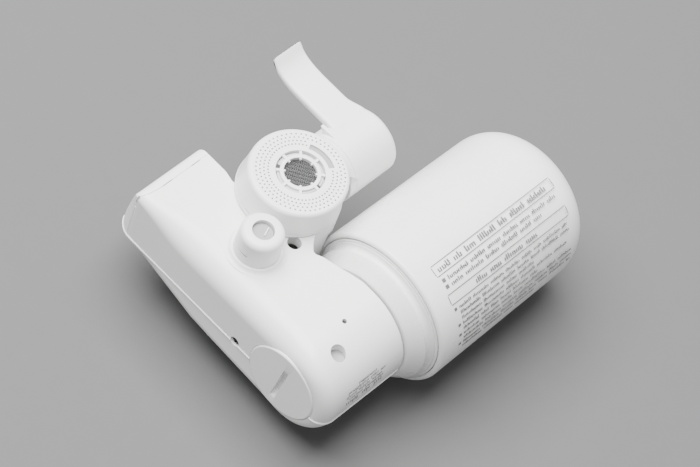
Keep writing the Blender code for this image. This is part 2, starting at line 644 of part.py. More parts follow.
def face_edge(obj, height):
    """Gives a full bevel weight to the edges at one height."""
    weights = obj.data.attributes.new("bevel_weight_edge", "FLOAT", "EDGE")
    for edge in obj.data.edges:
        level = all(obj.data.vertices[v].co.z > (height - WELD) * MM for v in edge.vertices)
        weights.data[edge.index].value = 1.0 if level else 0.0


def make_shower():
    """The spray head: a leaning wall with a flat face, a lip round its foot, and the aerator inside."""
    head = (*HEAD, 0)
    base = (*SHOWER_BASE, SHOWER_BASE_Z, SHOWER_BASE_RADIUS)
    cover = leaning_cone("shower_cover", base, (*SHOWER_TOP, SHOWER_FACE_Z, SHOWER_TOP_RADIUS), WHITE)
    rounding = cover.modifiers.new("Edge", "BEVEL")
    rounding.width = 1.2 * MM
    rounding.segments = 3
    rounding.limit_method = "WEIGHT"
    face_edge(cover, SHOWER_FACE_Z)
    cut(cover, cut_disc("cover_room", SHOWER_BORE, 50.0, 65.1, head, steps=FINE))
    cut(cover, cut_disc("slot_ring_hole", SLOT_RING_RADIUS, 60.0, 70.0, head, steps=FINE))
    cut(cover, collar_opening())
    lip = disc("shower_lip", LIP_RADIUS, 53.4, 54.6, WHITE, (*SHOWER_BASE, 0), steps=FINE)
    cut(lip, cut_disc("lip_hole", SHOWER_BORE, 50.0, 60.0, head, steps=FINE))
    cut(lip, collar_opening())
    ring = disc("aerator_ring", 7.6, 65.3, 66.8, WHITE, head, steps=MEDIUM)
    for turn in range(4):
        low = (HEAD[0] - 8.9, HEAD[1] - 0.5, 65.4)
        high = (HEAD[0] + 8.9, HEAD[1] + 0.5, 66.7)
        join(ring, block("aerator_ribs", low, high, None, turn=(0, 0, turn * math.pi / 4)))
    cut(ring, cut_disc("aerator_hole", AERATOR_HOLE_RADIUS, 60.0, 70.0, head, steps=MEDIUM))
    disc("aerator_screen", 7.2, 64.3, 65.0, STEEL, head, steps=COARSE)
    tube("aerator_body", AERATOR_HOLE_RADIUS, 8.8, 61.3, 64.0, NATURAL, head, steps=COARSE)


make_case()
make_fasteners()
make_display()
make_battery()
make_cartridge()
make_socket_and_ducts()
make_outlet()
make_valve()
make_lever()
make_shower()
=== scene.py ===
"""The looks of a tap-mounted water filter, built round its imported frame.

Lengths are millimetres in the object's own frame until the helpers place them: the cartridge's axis
is the line y = 0, z = AXIS_Z along +X, the body runs along +Y and the outlets face +Z.
"""

import math
import random

import bmesh
import bpy
from mathutils import Matrix, Vector


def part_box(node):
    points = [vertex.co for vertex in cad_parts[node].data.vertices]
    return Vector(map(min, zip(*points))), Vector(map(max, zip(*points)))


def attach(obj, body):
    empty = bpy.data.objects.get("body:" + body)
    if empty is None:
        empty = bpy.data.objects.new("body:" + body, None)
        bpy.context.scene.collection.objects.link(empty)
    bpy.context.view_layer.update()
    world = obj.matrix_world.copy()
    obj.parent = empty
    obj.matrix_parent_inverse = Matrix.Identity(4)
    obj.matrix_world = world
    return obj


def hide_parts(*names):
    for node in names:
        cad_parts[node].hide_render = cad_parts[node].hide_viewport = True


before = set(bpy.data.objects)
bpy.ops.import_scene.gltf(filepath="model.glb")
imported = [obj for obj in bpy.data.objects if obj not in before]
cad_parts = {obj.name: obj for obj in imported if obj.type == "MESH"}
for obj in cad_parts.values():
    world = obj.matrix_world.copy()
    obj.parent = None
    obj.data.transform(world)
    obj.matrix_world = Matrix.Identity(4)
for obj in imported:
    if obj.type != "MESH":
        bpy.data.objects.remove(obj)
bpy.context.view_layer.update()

MM = 0.001
ROUND = 192  # flat sides of a large turned piece
SMALL = 96  # of a small one

# Cartridge
TIP_X = 106.9
CARTRIDGE_RADIUS = 31.4
END_RADIUS = 30.5
DOME_X = 90.3
DOME_CORNER = 16.0
RIM_X = 19.7
NECK_END = (23.5, 10.4)
SPIGOT_RADIUS = 17.2
SPIGOT_END_X = -6.8

SHELL_LOW, SHELL_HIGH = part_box("cartridge_shell")
AXIS_Z = (SHELL_LOW.z + SHELL_HIGH.z) / 2 / MM
ORIGIN = Vector((SHELL_HIGH.x - TIP_X * MM, (SHELL_LOW.y + SHELL_HIGH.y) / 2, 0))

# Body
CASE_LEFT_X = -30.46
CASE_RIGHT_X = 9.9
CASE_TOP_Z = 53.1
ROUND_END_RADIUS = CASE_TOP_Z - AXIS_Z
WALL = 2.0
PARTING_Z = 27.9
CAP_SEAM_Y = 78.2
SLOPE_START = (45.0, 12.7)
SLOPE_END = (87.2, 23.9)
SLOPE_ANGLE = math.atan2(SLOPE_END[1] - SLOPE_START[1], SLOPE_END[0] - SLOPE_START[0])
COVER_RADIUS = 15.6
COVER_FACE_X = CASE_LEFT_X - 0.45
END_Y = 87.4
END_CORNER = 9.0
NOTCH_X = 2.5
NOTCH_CORNER = 8.0
VENT = (-7.0, -2.2, 0)
PINHOLE = (-29.9, 80.4, 0)
SIDE_SCREW = (0, 23.3, 28.4)
END_RECESS = (-16.8, -9.5, 0)
UNDER_SCREWS = ((-24.5, 36.0, 12.9, 19.0), (-14.0, 73.5, 21.4, 24.5))  # x, y, foot, step

# Head, lever and small outlet
HEAD = (15.9, 47.6)
HEAD_CASE_RADIUS = 18.4
FACE_Z = 66.9
DRUM_TOP = (15.6, 47.9)
DRUM_TOP_RADIUS = 18.7
DRUM_BASE = (14.6, 48.9)
DRUM_BASE_RADIUS = 19.4
DRUM_BASE_Z = 54.9
DRUM_BORE = 16.4
LIP_RADIUS = 19.6
LATCH = (-3.1, 51.2)
HEAD_HOLE_RADIUS = 16.3
DRAIN = (1.4, 32.0, 0)
SLOT_OUTER = 9.2
SLOT_INNER = 7.6
AERATOR_HOLE = 6.2
LEVER_Z = 51.5
LEVER_RADIUS = 13.1
LEVER_START_X = 36.3
LEVER_END_X = 58.5
COLLAR_X = (33.0, 36.2)
OUTLET = (-11.7, 38.5)
OUTLET_TOP_Z = 66.2
OUTLET_HOLE = 4.14
NUT_RADIUS = 16.5
NUT_TOP_Z = 9.5
VALVE_RADIUS = 13.0

ON_CARTRIDGE = (0.0, 0.0, AXIS_Z)
ON_HEAD = (*HEAD, 0.0)
ON_LEVER = (0.0, HEAD[1], LEVER_Z)
ON_OUTLET = (*OUTLET, 0.0)


# ---------------- outlines


def arc(centre, radius, start, end, steps):
    """Points of an arc between two angles in degrees."""
    angles = [math.radians(start + (end - start) * i / steps) for i in range(steps + 1)]
    return [(centre[0] + radius * math.cos(a), centre[1] + radius * math.sin(a)) for a in angles]


def corner_arc(before, corner, after, radius, steps):
    """Points that round a corner with an arc tangent to both of its sides."""
    before, corner, after = Vector(before), Vector(corner), Vector(after)
    back = (before - corner).normalized()
    ahead = (after - corner).normalized()
    half = back.angle(ahead) / 2
    centre = corner + (back + ahead).normalized() * radius / math.sin(half)
    start = (corner + back * radius / math.tan(half) - centre).normalized()
    end = (corner + ahead * radius / math.tan(half) - centre).normalized()
    return [tuple(centre + start.slerp(end, i / steps) * radius) for i in range(steps + 1)]


def rounded(corners, closed=True, steps=6):
    """An outline from (across, up, radius) corners, each turned into an arc where it has a radius."""
    points = []
    for i, (across, up, radius) in enumerate(corners):
        inner = closed or 0 < i < len(corners) - 1
        if radius and inner:
            before = corners[i - 1][:2]
            after = corners[(i + 1) % len(corners)][:2]
            points += corner_arc(before, (across, up), after, radius, steps)
        else:
            points.append((across, up))
    return points


def subdivided(points, longest, closed=True):
    """The outline with its long sides divided."""
    result = []
    count = len(points)
    for i in range(count if closed else count - 1):
        here, there = Vector(points[i]), Vector(points[(i + 1) % count])
        parts = max(1, math.ceil((there - here).length / longest))
        result += [tuple(here.lerp(there, part / parts)) for part in range(parts)]
    if not closed:
        result.append(tuple(points[-1]))
    return result


def normals_of(outline):
    """The inward direction at each point of a counter-clockwise outline."""
    result = []
    for i, point in enumerate(outline):
        here = Vector(point)
        arriving = (here - Vector(outline[i - 1])).normalized()
        leaving = (Vector(outline[(i + 1) % len(outline)]) - here).normalized()
        along = (arriving + leaving).normalized()
        result.append(Vector((-along.y, along.x)))
    return result


def inset(outline, distance):
    """A counter-clockwise outline moved inwards."""
    return [tuple(Vector(p) + n * distance) for p, n in zip(outline, normals_of(outline))]


def ease(value, start, end):
    share = min(1.0, max(0.0, (value - start) / (end - start)))
    return share * share * (3 - 2 * share)


# ---------------- meshes


def upright(point):
    return point


def along_x(point):
    """Turns a piece made about Z to lie about X."""
    across, up, height = point
    return height, across, up


def linked(name, data):
    obj = bpy.data.objects.new(name, data)
    bpy.context.scene.collection.objects.link(obj)
    return obj


def from_shape(name, shape):
    """An object from a finished bmesh."""
    mesh = bpy.data.meshes.new(name)
    shape.to_mesh(mesh)
    shape.free()
    return linked(name, mesh)


def new_object(name, points, faces, at=(0, 0, 0), aim=upright):
    mesh = bpy.data.meshes.new(name)
    placed = [ORIGIN + (Vector(aim(p)) + Vector(at)) * MM for p in points]
    mesh.from_pydata(placed, [], faces)
    shape = bmesh.new()
    shape.from_mesh(mesh)
    bmesh.ops.recalc_face_normals(shape, faces=shape.faces)
    if shape.calc_volume(signed=True) < 0:
        bmesh.ops.reverse_faces(shape, faces=shape.faces)
    shape.to_mesh(mesh)
    shape.free()
    return linked(name, mesh)


def turned(name, profile, at=(0, 0, 0), aim=upright, steps=ROUND, closed=False):
    """A profile of (radius, height) points turned about the axis; closed joins its last to its first."""
    points, faces, rows = [], [], []
    for radius, height in profile:
        if radius < 1e-6:
            rows.append([len(points)] * steps)
            points.append((0.0, 0.0, height))
            continue
        rows.append(list(range(len(points), len(points) + steps)))
        for i in range(steps):
            angle = 2 * math.pi * i / steps
            points.append((radius * math.cos(angle), radius * math.sin(angle), height))
    pairs = list(zip(rows, rows[1:]))
    if closed:
        pairs.append((rows[-1], rows[0]))
    for upper, lower in pairs:
        for i in range(steps):
            j = (i + 1) % steps
            face = list(dict.fromkeys([upper[i], lower[i], lower[j], upper[j]]))
            if len(face) > 2:
                faces.append(face)
    return new_object(name, points, faces, at, aim)


def disc(name, radius, low, high, at=(0, 0, 0), aim=upright, steps=SMALL):
    return turned(name, [(0, high), (radius, high), (radius, low), (0, low)], at, aim, steps)


def ring(name, inner, outer, low, high, at=(0, 0, 0), aim=upright, steps=SMALL, edge=0.0):
    corners = [(inner, low, edge), (outer, low, edge), (outer, high, edge), (inner, high, edge)]
    return turned(name, rounded(corners, steps=4), at, aim, steps, closed=True)


def prism(name, outline, low, high, at=(0, 0, 0), aim=upright):
    """A flat outline made thick from low to high."""
    count = len(outline)
    points = [(x, y, low) for x, y in outline] + [(x, y, high) for x, y in outline]
    faces = [list(range(count)), list(range(count, 2 * count))]
    for i in range(count):
        j = (i + 1) % count
        faces.append([i, j, count + j, count + i])
    return new_object(name, points, faces, at, aim)


def loft(name, rings, at=(0, 0, 0), aim=upright):
    """A solid through closed rings of equally many points, with flat ends."""
    count = len(rings[0])
    points = [p for one in rings for p in one]
    faces = [list(range(count)), list(range(len(points) - count, len(points)))]
    for r in range(len(rings) - 1):
        base = r * count
        for i in range(count):
            j = (i + 1) % count
            faces.append([base + i, base + j, base + count + j, base + count + i])
    return new_object(name, points, faces, at, aim)


def box(name, low, high, turn=Matrix.Identity(3), pivot=None):
    """A block between two corners, turned about a pivot, which is its own middle by default."""
    low, high = Vector(low), Vector(high)
    pivot = (low + high) / 2 if pivot is None else Vector(pivot)
    corners = [Vector((x, y, z)) for x in (low.x, high.x) for y in (low.y, high.y) for z in (low.z, high.z)]
    points = [pivot + turn @ (c - pivot) for c in corners]
    faces = [(0, 1, 3, 2), (4, 6, 7, 5), (0, 4, 5, 1), (2, 3, 7, 6), (0, 2, 6, 4), (1, 5, 7, 3)]
    return new_object(name, points, faces)


def merged(name, pieces):
    """One object of several meshes that don't touch."""
    shape = bmesh.new()
    for piece in pieces:
        shape.from_mesh(piece.data)
        bpy.data.objects.remove(piece, do_unlink=True)
    return from_shape(name, shape)


def combine(obj, tool, operation):
    """Applies a Boolean to the mesh at once and removes its tool."""
    modifier = obj.modifiers.new("combine", "BOOLEAN")
    modifier.operation = operation
    modifier.solver = "MANIFOLD"
    modifier.object = tool
    graph = bpy.context.evaluated_depsgraph_get()
    mesh = bpy.data.meshes.new_from_object(obj.evaluated_get(graph))
    obj.modifiers.clear()
    old = obj.data
    obj.data = mesh
    bpy.data.meshes.remove(old)
    bpy.data.objects.remove(tool, do_unlink=True)
    return obj


def cut(obj, *tools):
    for tool in tools:
        combine(obj, tool, "DIFFERENCE")
    return obj


def join(obj, *tools):
    for tool in tools:
        combine(obj, tool, "UNION")
    return obj


def settle(obj, look, body, nodes=(), crease=28):
    """Shades a finished piece, gives it its look and sets it on its body."""
    mesh = obj.data
    shape = bmesh.new()
    shape.from_mesh(mesh)
    bmesh.ops.remove_doubles(shape, verts=shape.verts, dist=1e-6)
    shape.to_mesh(mesh)
    shape.free()
    mesh.materials.clear()
    mesh.materials.append(look)
    mesh.shade_smooth()
    mesh.set_sharp_from_angle(angle=math.radians(crease))
    weighted = obj.modifiers.new("Flat faces stay flat", "WEIGHTED_NORMAL")
    weighted.keep_sharp = True
    weighted.weight = 80
    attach(obj, body)
    if nodes:
        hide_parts(*nodes)


# ---------------- materials


class Look:
    """A node material whose nodes are added one call at a time."""

    def __init__(self, name, colour, roughness, metallic=0.0):
        self.material = bpy.data.materials.new(name)
        self.material.use_nodes = True
        self.tree = self.material.node_tree
        self.shader = self.tree.nodes["Principled BSDF"]
        self.colour = colour
        self.roughness = roughness
        self.shade({"Base Color": (*colour, 1.0), "Roughness": roughness, "Metallic": metallic})
        self.place = self.add("ShaderNodeTexCoord").outputs["Object"]

    def shade(self, values, node=None):
        """Sets input values of a node, which is the shader by default."""
        for socket, value in values.items():
            (node or self.shader).inputs[socket].default_value = value

    def add(self, kind, values=None, **settings):
        node = self.tree.nodes.new(kind)
        for key, value in settings.items():
            setattr(node, key, value)
        self.shade(values or {}, node)
        return node

    def texture(self, kind, values, output, **settings):
        """The output of a texture that is fixed to the piece."""
        node = self.add(kind, values, **settings)
        self.link(self.place, node.inputs["Vector"])
        return node.outputs[output]

    def link(self, output, target):
        self.tree.links.new(output, target)

    def noise(self, size, detail=4.0, roughness=0.55):
        """Noise whose features are about size millimetres across."""
        values = {"Scale": 1.0 / (size * MM), "Detail": detail, "Roughness": roughness}
        return self.texture("ShaderNodeTexNoise", values, "Fac")

    def spread(self, source, low, high):
        """Maps the middle of a noise's range to a range of values."""
        values = {"From Min": 0.3, "From Max": 0.7, "To Min": low, "To Max": high}
        node = self.add("ShaderNodeMapRange", values)
        self.link(source, node.inputs["Value"])
        return node.outputs["Result"]

    def vary_colour(self, source, other, share=1.0):
        node = self.add("ShaderNodeMix", {6: (*self.colour, 1.0), 7: (*other, 1.0)}, data_type="RGBA")
        self.link(self.spread(source, 0.0, share), node.inputs["Factor"])
        self.link(node.outputs[2], self.shader.inputs["Base Color"])

    def vary_roughness(self, source, amount):
        low, high = self.roughness - amount, self.roughness + amount
        self.link(self.spread(source, low, high), self.shader.inputs["Roughness"])

    def relief(self, source, height, softened=0.0):
        """A bump of the given height in millimetres, on edges softened by a radius in millimetres."""
        bump = self.add("ShaderNodeBump", {"Strength": 1.0, "Distance": height * MM})
        self.link(source, bump.inputs["Height"])
        if softened:
            edges = self.add("ShaderNodeBevel", {"Radius": softened * MM}, samples=6)
            self.link(edges.outputs["Normal"], bump.inputs["Normal"])
        self.link(bump.outputs["Normal"], self.shader.inputs["Normal"])


def moulded(name, colour, other, roughness, grain=0.35, height=0.006, softened=0.25):
    """A moulded plastic: fine satin texture, faint flow marks, and edges a little round."""
    look = Look(name, colour, roughness)
    look.vary_colour(look.noise(24.0, 3.0), other)
    look.vary_roughness(look.noise(5.0, 5.0), 0.05)
    look.relief(look.noise(grain, 2.0), height, softened)
    look.shade({"IOR": 1.49})
    return look.material


def metal(name, colour, roughness, brushed):
    look = Look(name, colour, roughness, 1.0)
    look.vary_roughness(look.noise(1.5, 6.0), 0.08)
    stretch = look.texture("ShaderNodeMapping", {"Scale": brushed}, "Vector")
    fine = look.add("ShaderNodeTexNoise", {"Scale": 4000.0})
    look.link(stretch, fine.inputs["Vector"])
    look.relief(fine.outputs["Fac"], 0.004, 0.1)
    return look.material


def clear_plastic(name):
    look = Look(name, (0.9, 0.92, 0.93), 0.08)
    look.shade({"Transmission Weight": 1.0, "IOR": 1.49})
    look.vary_roughness(look.noise(3.0), 0.03)
    look.relief(look.noise(0.8), 0.002, 0.15)
    return look.material


def granular(name, colour, other, grain, height, roughness):
    look = Look(name, colour, roughness)
    cells = look.texture("ShaderNodeTexVoronoi", {"Scale": 1.0 / (grain * MM)}, "Distance")
    look.vary_colour(cells, other)
    look.vary_roughness(look.noise(2.0), 0.05)
    look.relief(cells, height)
    return look.material


def fibrous(name, colour, other):
    look = Look(name, colour, 0.8)
    values = {"Scale": 900.0, "Distortion": 3.0}
    waves = look.texture("ShaderNodeTexWave", values, "Fac", bands_direction="Y")
    look.vary_colour(waves, other)
    look.vary_roughness(look.noise(1.0), 0.06)
    look.relief(waves, 0.08)
    return look.material


def board_green(name):
    look = Look(name, (0.02, 0.16, 0.06), 0.4)
    values = {"Scale": 260.0, "Mortar Size": 0.06, "Mortar": (0.08, 0.3, 0.12, 1)}
    values |= {"Color1": (0.015, 0.13, 0.05, 1), "Color2": (0.02, 0.17, 0.06, 1)}
    tracks = look.add("ShaderNodeTexBrick", values)
    look.link(look.place, tracks.inputs["Vector"])
    look.link(tracks.outputs["Color"], look.shader.inputs["Base Color"])
    look.vary_roughness(look.noise(1.0), 0.05)
    look.relief(tracks.outputs["Fac"], 0.03)
    return look.material


def grey(value):
    return (value, value, value)


WHITE = moulded("white_plastic", (0.80, 0.80, 0.795), (0.83, 0.83, 0.825), 0.34)
CARTRIDGE_WHITE = moulded("cartridge_white", (0.80, 0.80, 0.795), (0.83, 0.83, 0.825), 0.3, 0.5, 0.004)
NECK_WHITE = moulded("neck_white", (0.76, 0.76, 0.755), (0.79, 0.79, 0.785), 0.28, 0.6, 0.003)
NATURAL = moulded("natural_plastic", (0.66, 0.67, 0.66), (0.7, 0.71, 0.7), 0.42)
PALE_GREY = moulded("pale_grey_plastic", grey(0.46), grey(0.49), 0.45)
# Slot floor grey: partly the floor's own tone, partly painted shade darkening it for the slots' depth.
SLOT_FLOOR_SHADED_GREY = moulded("slot_floor_grey_with_painted_shade", grey(0.5), grey(0.54), 0.45)
# Dark grey: the mode window's own tint, and painted shade on the end recess floor and in the small outlet.
WINDOW_TINT_AND_HOLLOW_SHADE = moulded("window_tint_and_painted_hollow_shade", grey(0.28), grey(0.3), 0.35)
GREY = moulded("grey_plastic", (0.33, 0.34, 0.35), (0.36, 0.37, 0.38), 0.42)
INK = moulded("grey_print", grey(0.12), grey(0.16), 0.5, 0.2, 0.004, 0.0)
# Black rubber for seals and gaskets; the same black is painted shade in the slot shadows, the vent and behind
# the outlet's slit.
RUBBER_AND_SHADE_BLACK = moulded("rubber", (0.025, 0.025, 0.026), (0.04, 0.04, 0.04), 0.62, 0.25, 0.02)
STEEL = metal("steel", (0.62, 0.62, 0.63), 0.28, (1, 1, 0.1))
WIRE = metal("mesh_wire", grey(0.14), 0.5, (1, 1, 1))
BLACK_STEEL = moulded("blackened_steel", grey(0.025), grey(0.035), 0.7, 0.3, 0.01, 0.1)
CLEAR = clear_plastic("display_glass")
CARBON = granular("activated_carbon", (0.02, 0.02, 0.02), (0.06, 0.06, 0.06), 0.7, 0.2, 0.85)
FIBRE = fibrous("fibre", (0.8, 0.79, 0.75), (0.68, 0.67, 0.62))
BOARD = board_green("circuit_board")


# ---------------- body


def belly_and_round_end(display_end):
    """The casing seen along X, as (y, z): its round end and its belly, joined by the given display end."""
    round_end = arc((0, AXIS_Z), ROUND_END_RADIUS, 90, 274, 72)
    return subdivided([(33.0, 11.7), SLOPE_START, *display_end, *round_end], 3.0)


def side_outline():
    """The outline with its flat top and its sloping display face, whose corners are round."""
    end_top = (82.0, CASE_TOP_Z)
    return belly_and_round_end([
        *corner_arc(SLOPE_START, SLOPE_END, end_top, 7.0, 14),
        *corner_arc(SLOPE_END, end_top, (0, CASE_TOP_Z), 3.5, 14),
    ])


def long_outline():
    """The same without its display end, so that the -X edge runs on past it."""
    slope = (SLOPE_END[1] - SLOPE_START[1]) / (SLOPE_END[0] - SLOPE_START[0])
    beyond = 112.0
    return belly_and_round_end([
        (beyond, SLOPE_START[1] + slope * (beyond - SLOPE_START[0])),
        (beyond, CASE_TOP_Z),
    ])


def edge_radius(point):
    """How round the casing's -X edge is at a point of its side outline."""
    across, up = point
    past_round_end = ease(across, -14.0, 8.0)
    if up > AXIS_Z:
        before_end = 1 - ease(across, 50.0, 80.0)
        return 3.5 + 2.5 * (1 - ease(across, 60.0, 80.0)) + 3.5 * past_round_end * before_end
    return 6.0 + 2.0 * past_round_end


def rounded_slab(inwards):
    """The long outline extended along X, with its -X edge round."""
    side = long_outline()
    radii = [edge_radius(p) - 0.6 * inwards for p in side]
    inner = normals_of(side)
    side = [Vector(p) + n * inwards for p, n in zip(side, inner)]
    rings = []
    steps = 14
    for step in range(steps + 1):
        turn = math.radians(90 * step / steps)
        across = CASE_LEFT_X + inwards
        ring_points = []
        for point, radius, normal in zip(side, radii, inner):
            moved = point + normal * radius * (1 - math.sin(turn))
            ring_points.append((across + radius * (1 - math.cos(turn)), moved.x, moved.y))
        rings.append(ring_points)
    rings.append([(45.0, point.x, point.y) for point in side])
    return loft("slab", rings)


def casing(name, inwards=0.0):
    """The whole outside of the body, or the same moved inwards by a wall."""
    solid = rounded_slab(inwards)
    solid.name = name
    side = side_outline()
    if inwards:
        side = inset(side, inwards)
    combine(solid, prism("side", side, CASE_LEFT_X - 5.0, 50.0, aim=along_x), "INTERSECT")
    plan = plan_outline()
    if inwards:
        plan = inset(plan, inwards)
    combine(solid, prism("plan", plan, -5.0, 80.0), "INTERSECT")
    room = CARTRIDGE_RADIUS + 1.0 + inwards
    start = RIM_X - 1.1 - inwards
    return cut(solid, disc("cartridge_room", room, start, 60.0, ON_CARTRIDGE, along_x, ROUND))


def plan_outline():
    """The casing seen along Z, as (x, y), with the arm round the head."""
    waist = [
        (CASE_RIGHT_X, -30.0, 0),
        (CASE_RIGHT_X, 5.0, 8.0),
        (8.6, 10.5, 20.0),
        (7.1, 15.3, 20.0),
        (5.6, 21.5, 8.0),
        (3.8, 24.6, 2.0),
        (6.6, 27.4, 1.2),
    ]
    head = arc(HEAD, HEAD_CASE_RADIUS, -108, 131, 96)
    waist.append((*head[0], 0))
    notch = [(*head[-1], 0), (1.3, 63.6, 2.2), (NOTCH_X, 69.0, 6.0), (NOTCH_X, END_Y, NOTCH_CORNER)]
    notch += [(CASE_LEFT_X, END_Y, END_CORNER), (CASE_LEFT_X, -30.0, 0)]
    return [*rounded(waist, closed=False)[:-1], *head[:-1], *rounded(notch, closed=False, steps=16)]


def parting_path():
    """Points along the parting line: round end, -X face, display end, and the side towards the head."""
    low_y = -math.sqrt(ROUND_END_RADIUS ** 2 - (AXIS_Z - PARTING_Z) ** 2)
    turn = 6.0
    near = arc((CASE_LEFT_X + turn, low_y + turn), turn, 270, 180, 16)
    far = arc((CASE_LEFT_X + END_CORNER, END_Y - END_CORNER), END_CORNER, 180, 117, 12)
    head_side = arc((NOTCH_X - NOTCH_CORNER, END_Y - NOTCH_CORNER), NOTCH_CORNER, 62.5, 0, 12)
    path = [(CASE_RIGHT_X - 0.3, low_y), *near, *far, *head_side, (NOTCH_X, 72.0)]
    return subdivided(path, 4.0, closed=False)


def parting_ledge():
    """A narrow ledge along the lower shell's top edge that stands proud of the casing."""
    path = [Vector(p) for p in parting_path()]
    section = ((-1.0, -0.05), (0.0, -0.05), (0.36, -0.41), (0.36, -0.5), (-0.15, -2.0), (-1.0, -2.0))
    rings = []
    for i, point in enumerate(path):
        before = path[max(i - 1, 0)]
        after = path[min(i + 1, len(path) - 1)]
        along = (after - before).normalized()
        outward = Vector((-along.y, along.x))
        rings.append([(*(point + outward * out), PARTING_Z + up) for out, up in section])
    return loft("parting_ledge", rings)


def slab(name, low, high):
    """A block across the whole casing between two heights."""
    return box(name, (-60, -60, low), (60, 140, high))


def seam_side(name, way, far):
    """The casing's room on one side of the display cap's seam, which bends forward at its -X end.

    The seam's points are (x, how far forward, half the gap); two stretches of it stand open.
    """
    wide, narrow = 0.17, 0.05
    seam = [(60.0, 0.0, 0.02), (-1.6, 0.0, 0.02), (-1.8, 0.0, wide), (-5.8, 0.0, wide), (-6.0, 0.0, narrow)]
    seam += [(-15.6, 0.0, narrow), (-15.8, 0.0, wide), (-20.2, 0.0, wide), (-20.4, 0.0, 0.06)]
    seam += [(-22.0, 0.0, 0.06), (-26.5, 0.6, 0.06), (-28.8, 1.5, 0.06), (-29.8, 2.3, 0.04)]
    seam.append((-60.0, 2.3, 0.04))
    outline = [(x, CAP_SEAM_Y + bend + way * gap) for x, bend, gap in seam] + [(-60.0, far), (60.0, far)]
    return prism(name, outline, PARTING_Z + 0.05, 100.0)


def copied(name, obj):
    twin = obj.copy()
    twin.data = obj.data.copy()
    twin.name = name
    bpy.context.scene.collection.objects.link(twin)
    return twin


def recess_boss():
    """The thick place under the end recess, which stays inside the round end."""
    boss = disc("recess_boss", 3.9, 44.0, 53.0, END_RECESS)
    inside = disc("inside_end", ROUND_END_RADIUS - 0.5, -40, 20, ON_CARTRIDGE, along_x, ROUND)
    return combine(boss, inside, "INTERSECT")


def side_boss(half):
    """The part of the side screw's boss that lies in one half of the casing."""
    boss = disc("side_boss", 3.4, -29.6, -20.0, SIDE_SCREW, along_x)
    return combine(boss, half, "INTERSECT")


def collar_hole():
    return disc("collar_hole", LEVER_RADIUS + 0.3, 26.0, 45.0, ON_LEVER, along_x)


def outlet_flare():
    """The casing's concave foot round the small outlet."""
    curve = arc((11.6, 55.6), 2.5, 214, 270, 10)
    foot = turned("flare", [(7.4, 52.0), (7.4, 54.2), *curve, (11.6, 52.0)], ON_OUTLET, closed=True)
    return cut(foot, disc("beside_head", LIP_RADIUS + 0.1, 50.0, 60.0, (*DRUM_BASE, 0), steps=ROUND))


def make_body():
    shell = cut(casing("upper_casing"), casing("cavity", WALL))
    cap = copied("display_end_cap", shell)
    lower = copied("lower_casing", shell)
    drain = ring("drain_tube", 2.0, 3.5, 48.0, 52.0, DRAIN)

    combine(shell, seam_side("before", -1, -60.0), "INTERSECT")
    above = CASE_TOP_Z + 6.9
    join(shell, recess_boss(), side_boss(slab("above_parting", PARTING_Z + 0.05, above)), drain)
    cut(
        shell,
        disc("recess", 3.0, 46.6, above, END_RECESS),
        disc("vent", 0.95, 46.0, above, VENT, steps=48),
        disc("head_hole", HEAD_HOLE_RADIUS, 50.0, above, ON_HEAD),
        disc("outlet_hole", 7.2, 50.0, above, ON_OUTLET),
        collar_hole(),
        disc("drain_hole", 2.7, 43.5, above, DRAIN),
        disc("pinhole", 0.5, 46.0, above, PINHOLE, steps=32),
    )
    combine(cap, seam_side("after", 1, 140.0), "INTERSECT")
    cut(cap, disc("pinhole", 0.5, 46.0, above, PINHOLE, steps=32))

    combine(lower, slab("under_parting", -30.0, PARTING_Z - 0.05), "INTERSECT")
    join(lower, side_boss(slab("below_parting", 0.0, PARTING_Z - 0.05)), parting_ledge())
    for x, y, foot, step in UNDER_SCREWS:
        join(lower, disc("boss", 3.3, foot, step + 3.0, (x, y, 0)))
        cut(lower, disc("screw_hole", 2.7, 0.0, step, (x, y, 0)))
    cut(lower, disc("inlet_hole", VALVE_RADIUS + 0.4, 5.0, 22.0, ON_HEAD), *display_cutters())

    for piece in (shell, lower):
        cut(
            piece,
            disc("cover_hole", COVER_RADIUS + 0.1, -35.0, -27.0, ON_CARTRIDGE, along_x, ROUND),
            disc("socket_hole", 19.7, 0.0, 15.0, ON_CARTRIDGE, along_x, ROUND),
            disc("side_hole", 2.05, -35.0, -27.6, SIDE_SCREW, along_x),
        )
    settle(shell, WHITE, "housing", ["upper_shell"])
    settle(cap, WHITE, "housing", ["front_cap"])
    settle(lower, WHITE, "housing", ["lower_shell"])
    settle(outlet_flare(), WHITE, "housing")
    # Painted shade: the recess floor's dark grey stands for the shade of a deeper hole.
    floor = [(0, 48.0), (2.95, 48.0), (2.95, 46.7), (0, 46.7)]
    plug = turned("end_recess_floor", floor, END_RECESS, steps=SMALL)
    settle(plug, WINDOW_TINT_AND_HOLLOW_SHADE, "housing", ["screw_plug"])
    # Painted shade: a black disc just under the vent's mouth stands for the dark of a deep hole.
    vent_shade = disc("vent_painted_shade", 0.94, 51.3, 51.8, VENT, steps=48)
    settle(vent_shade, RUBBER_AND_SHADE_BLACK, "housing")


# ---------------- display


def display_place():
    """Matrix of the sloping face's frame: X across, Y up the slope, Z into the case."""
    along = 16.0
    rise = math.tan(SLOPE_ANGLE) * along
    at = Matrix.Translation((-12.5, SLOPE_START[0] + along, SLOPE_START[1] + rise))
    return at @ Matrix.Rotation(SLOPE_ANGLE, 4, "X")


DISPLAY = display_place()
BUTTON_Y = -12.5


def onto_display(point):
    return tuple(DISPLAY @ Vector(point))


def onto_button(point):
    return onto_display((point[0], point[1] + BUTTON_Y, point[2]))


def rounded_rectangle(half_width, half_height, radius):
    corners = [(-half_width, -half_height), (half_width, -half_height)]
    corners += [(half_width, half_height), (-half_width, half_height)]
    return rounded([(*corner, radius) for corner in corners])


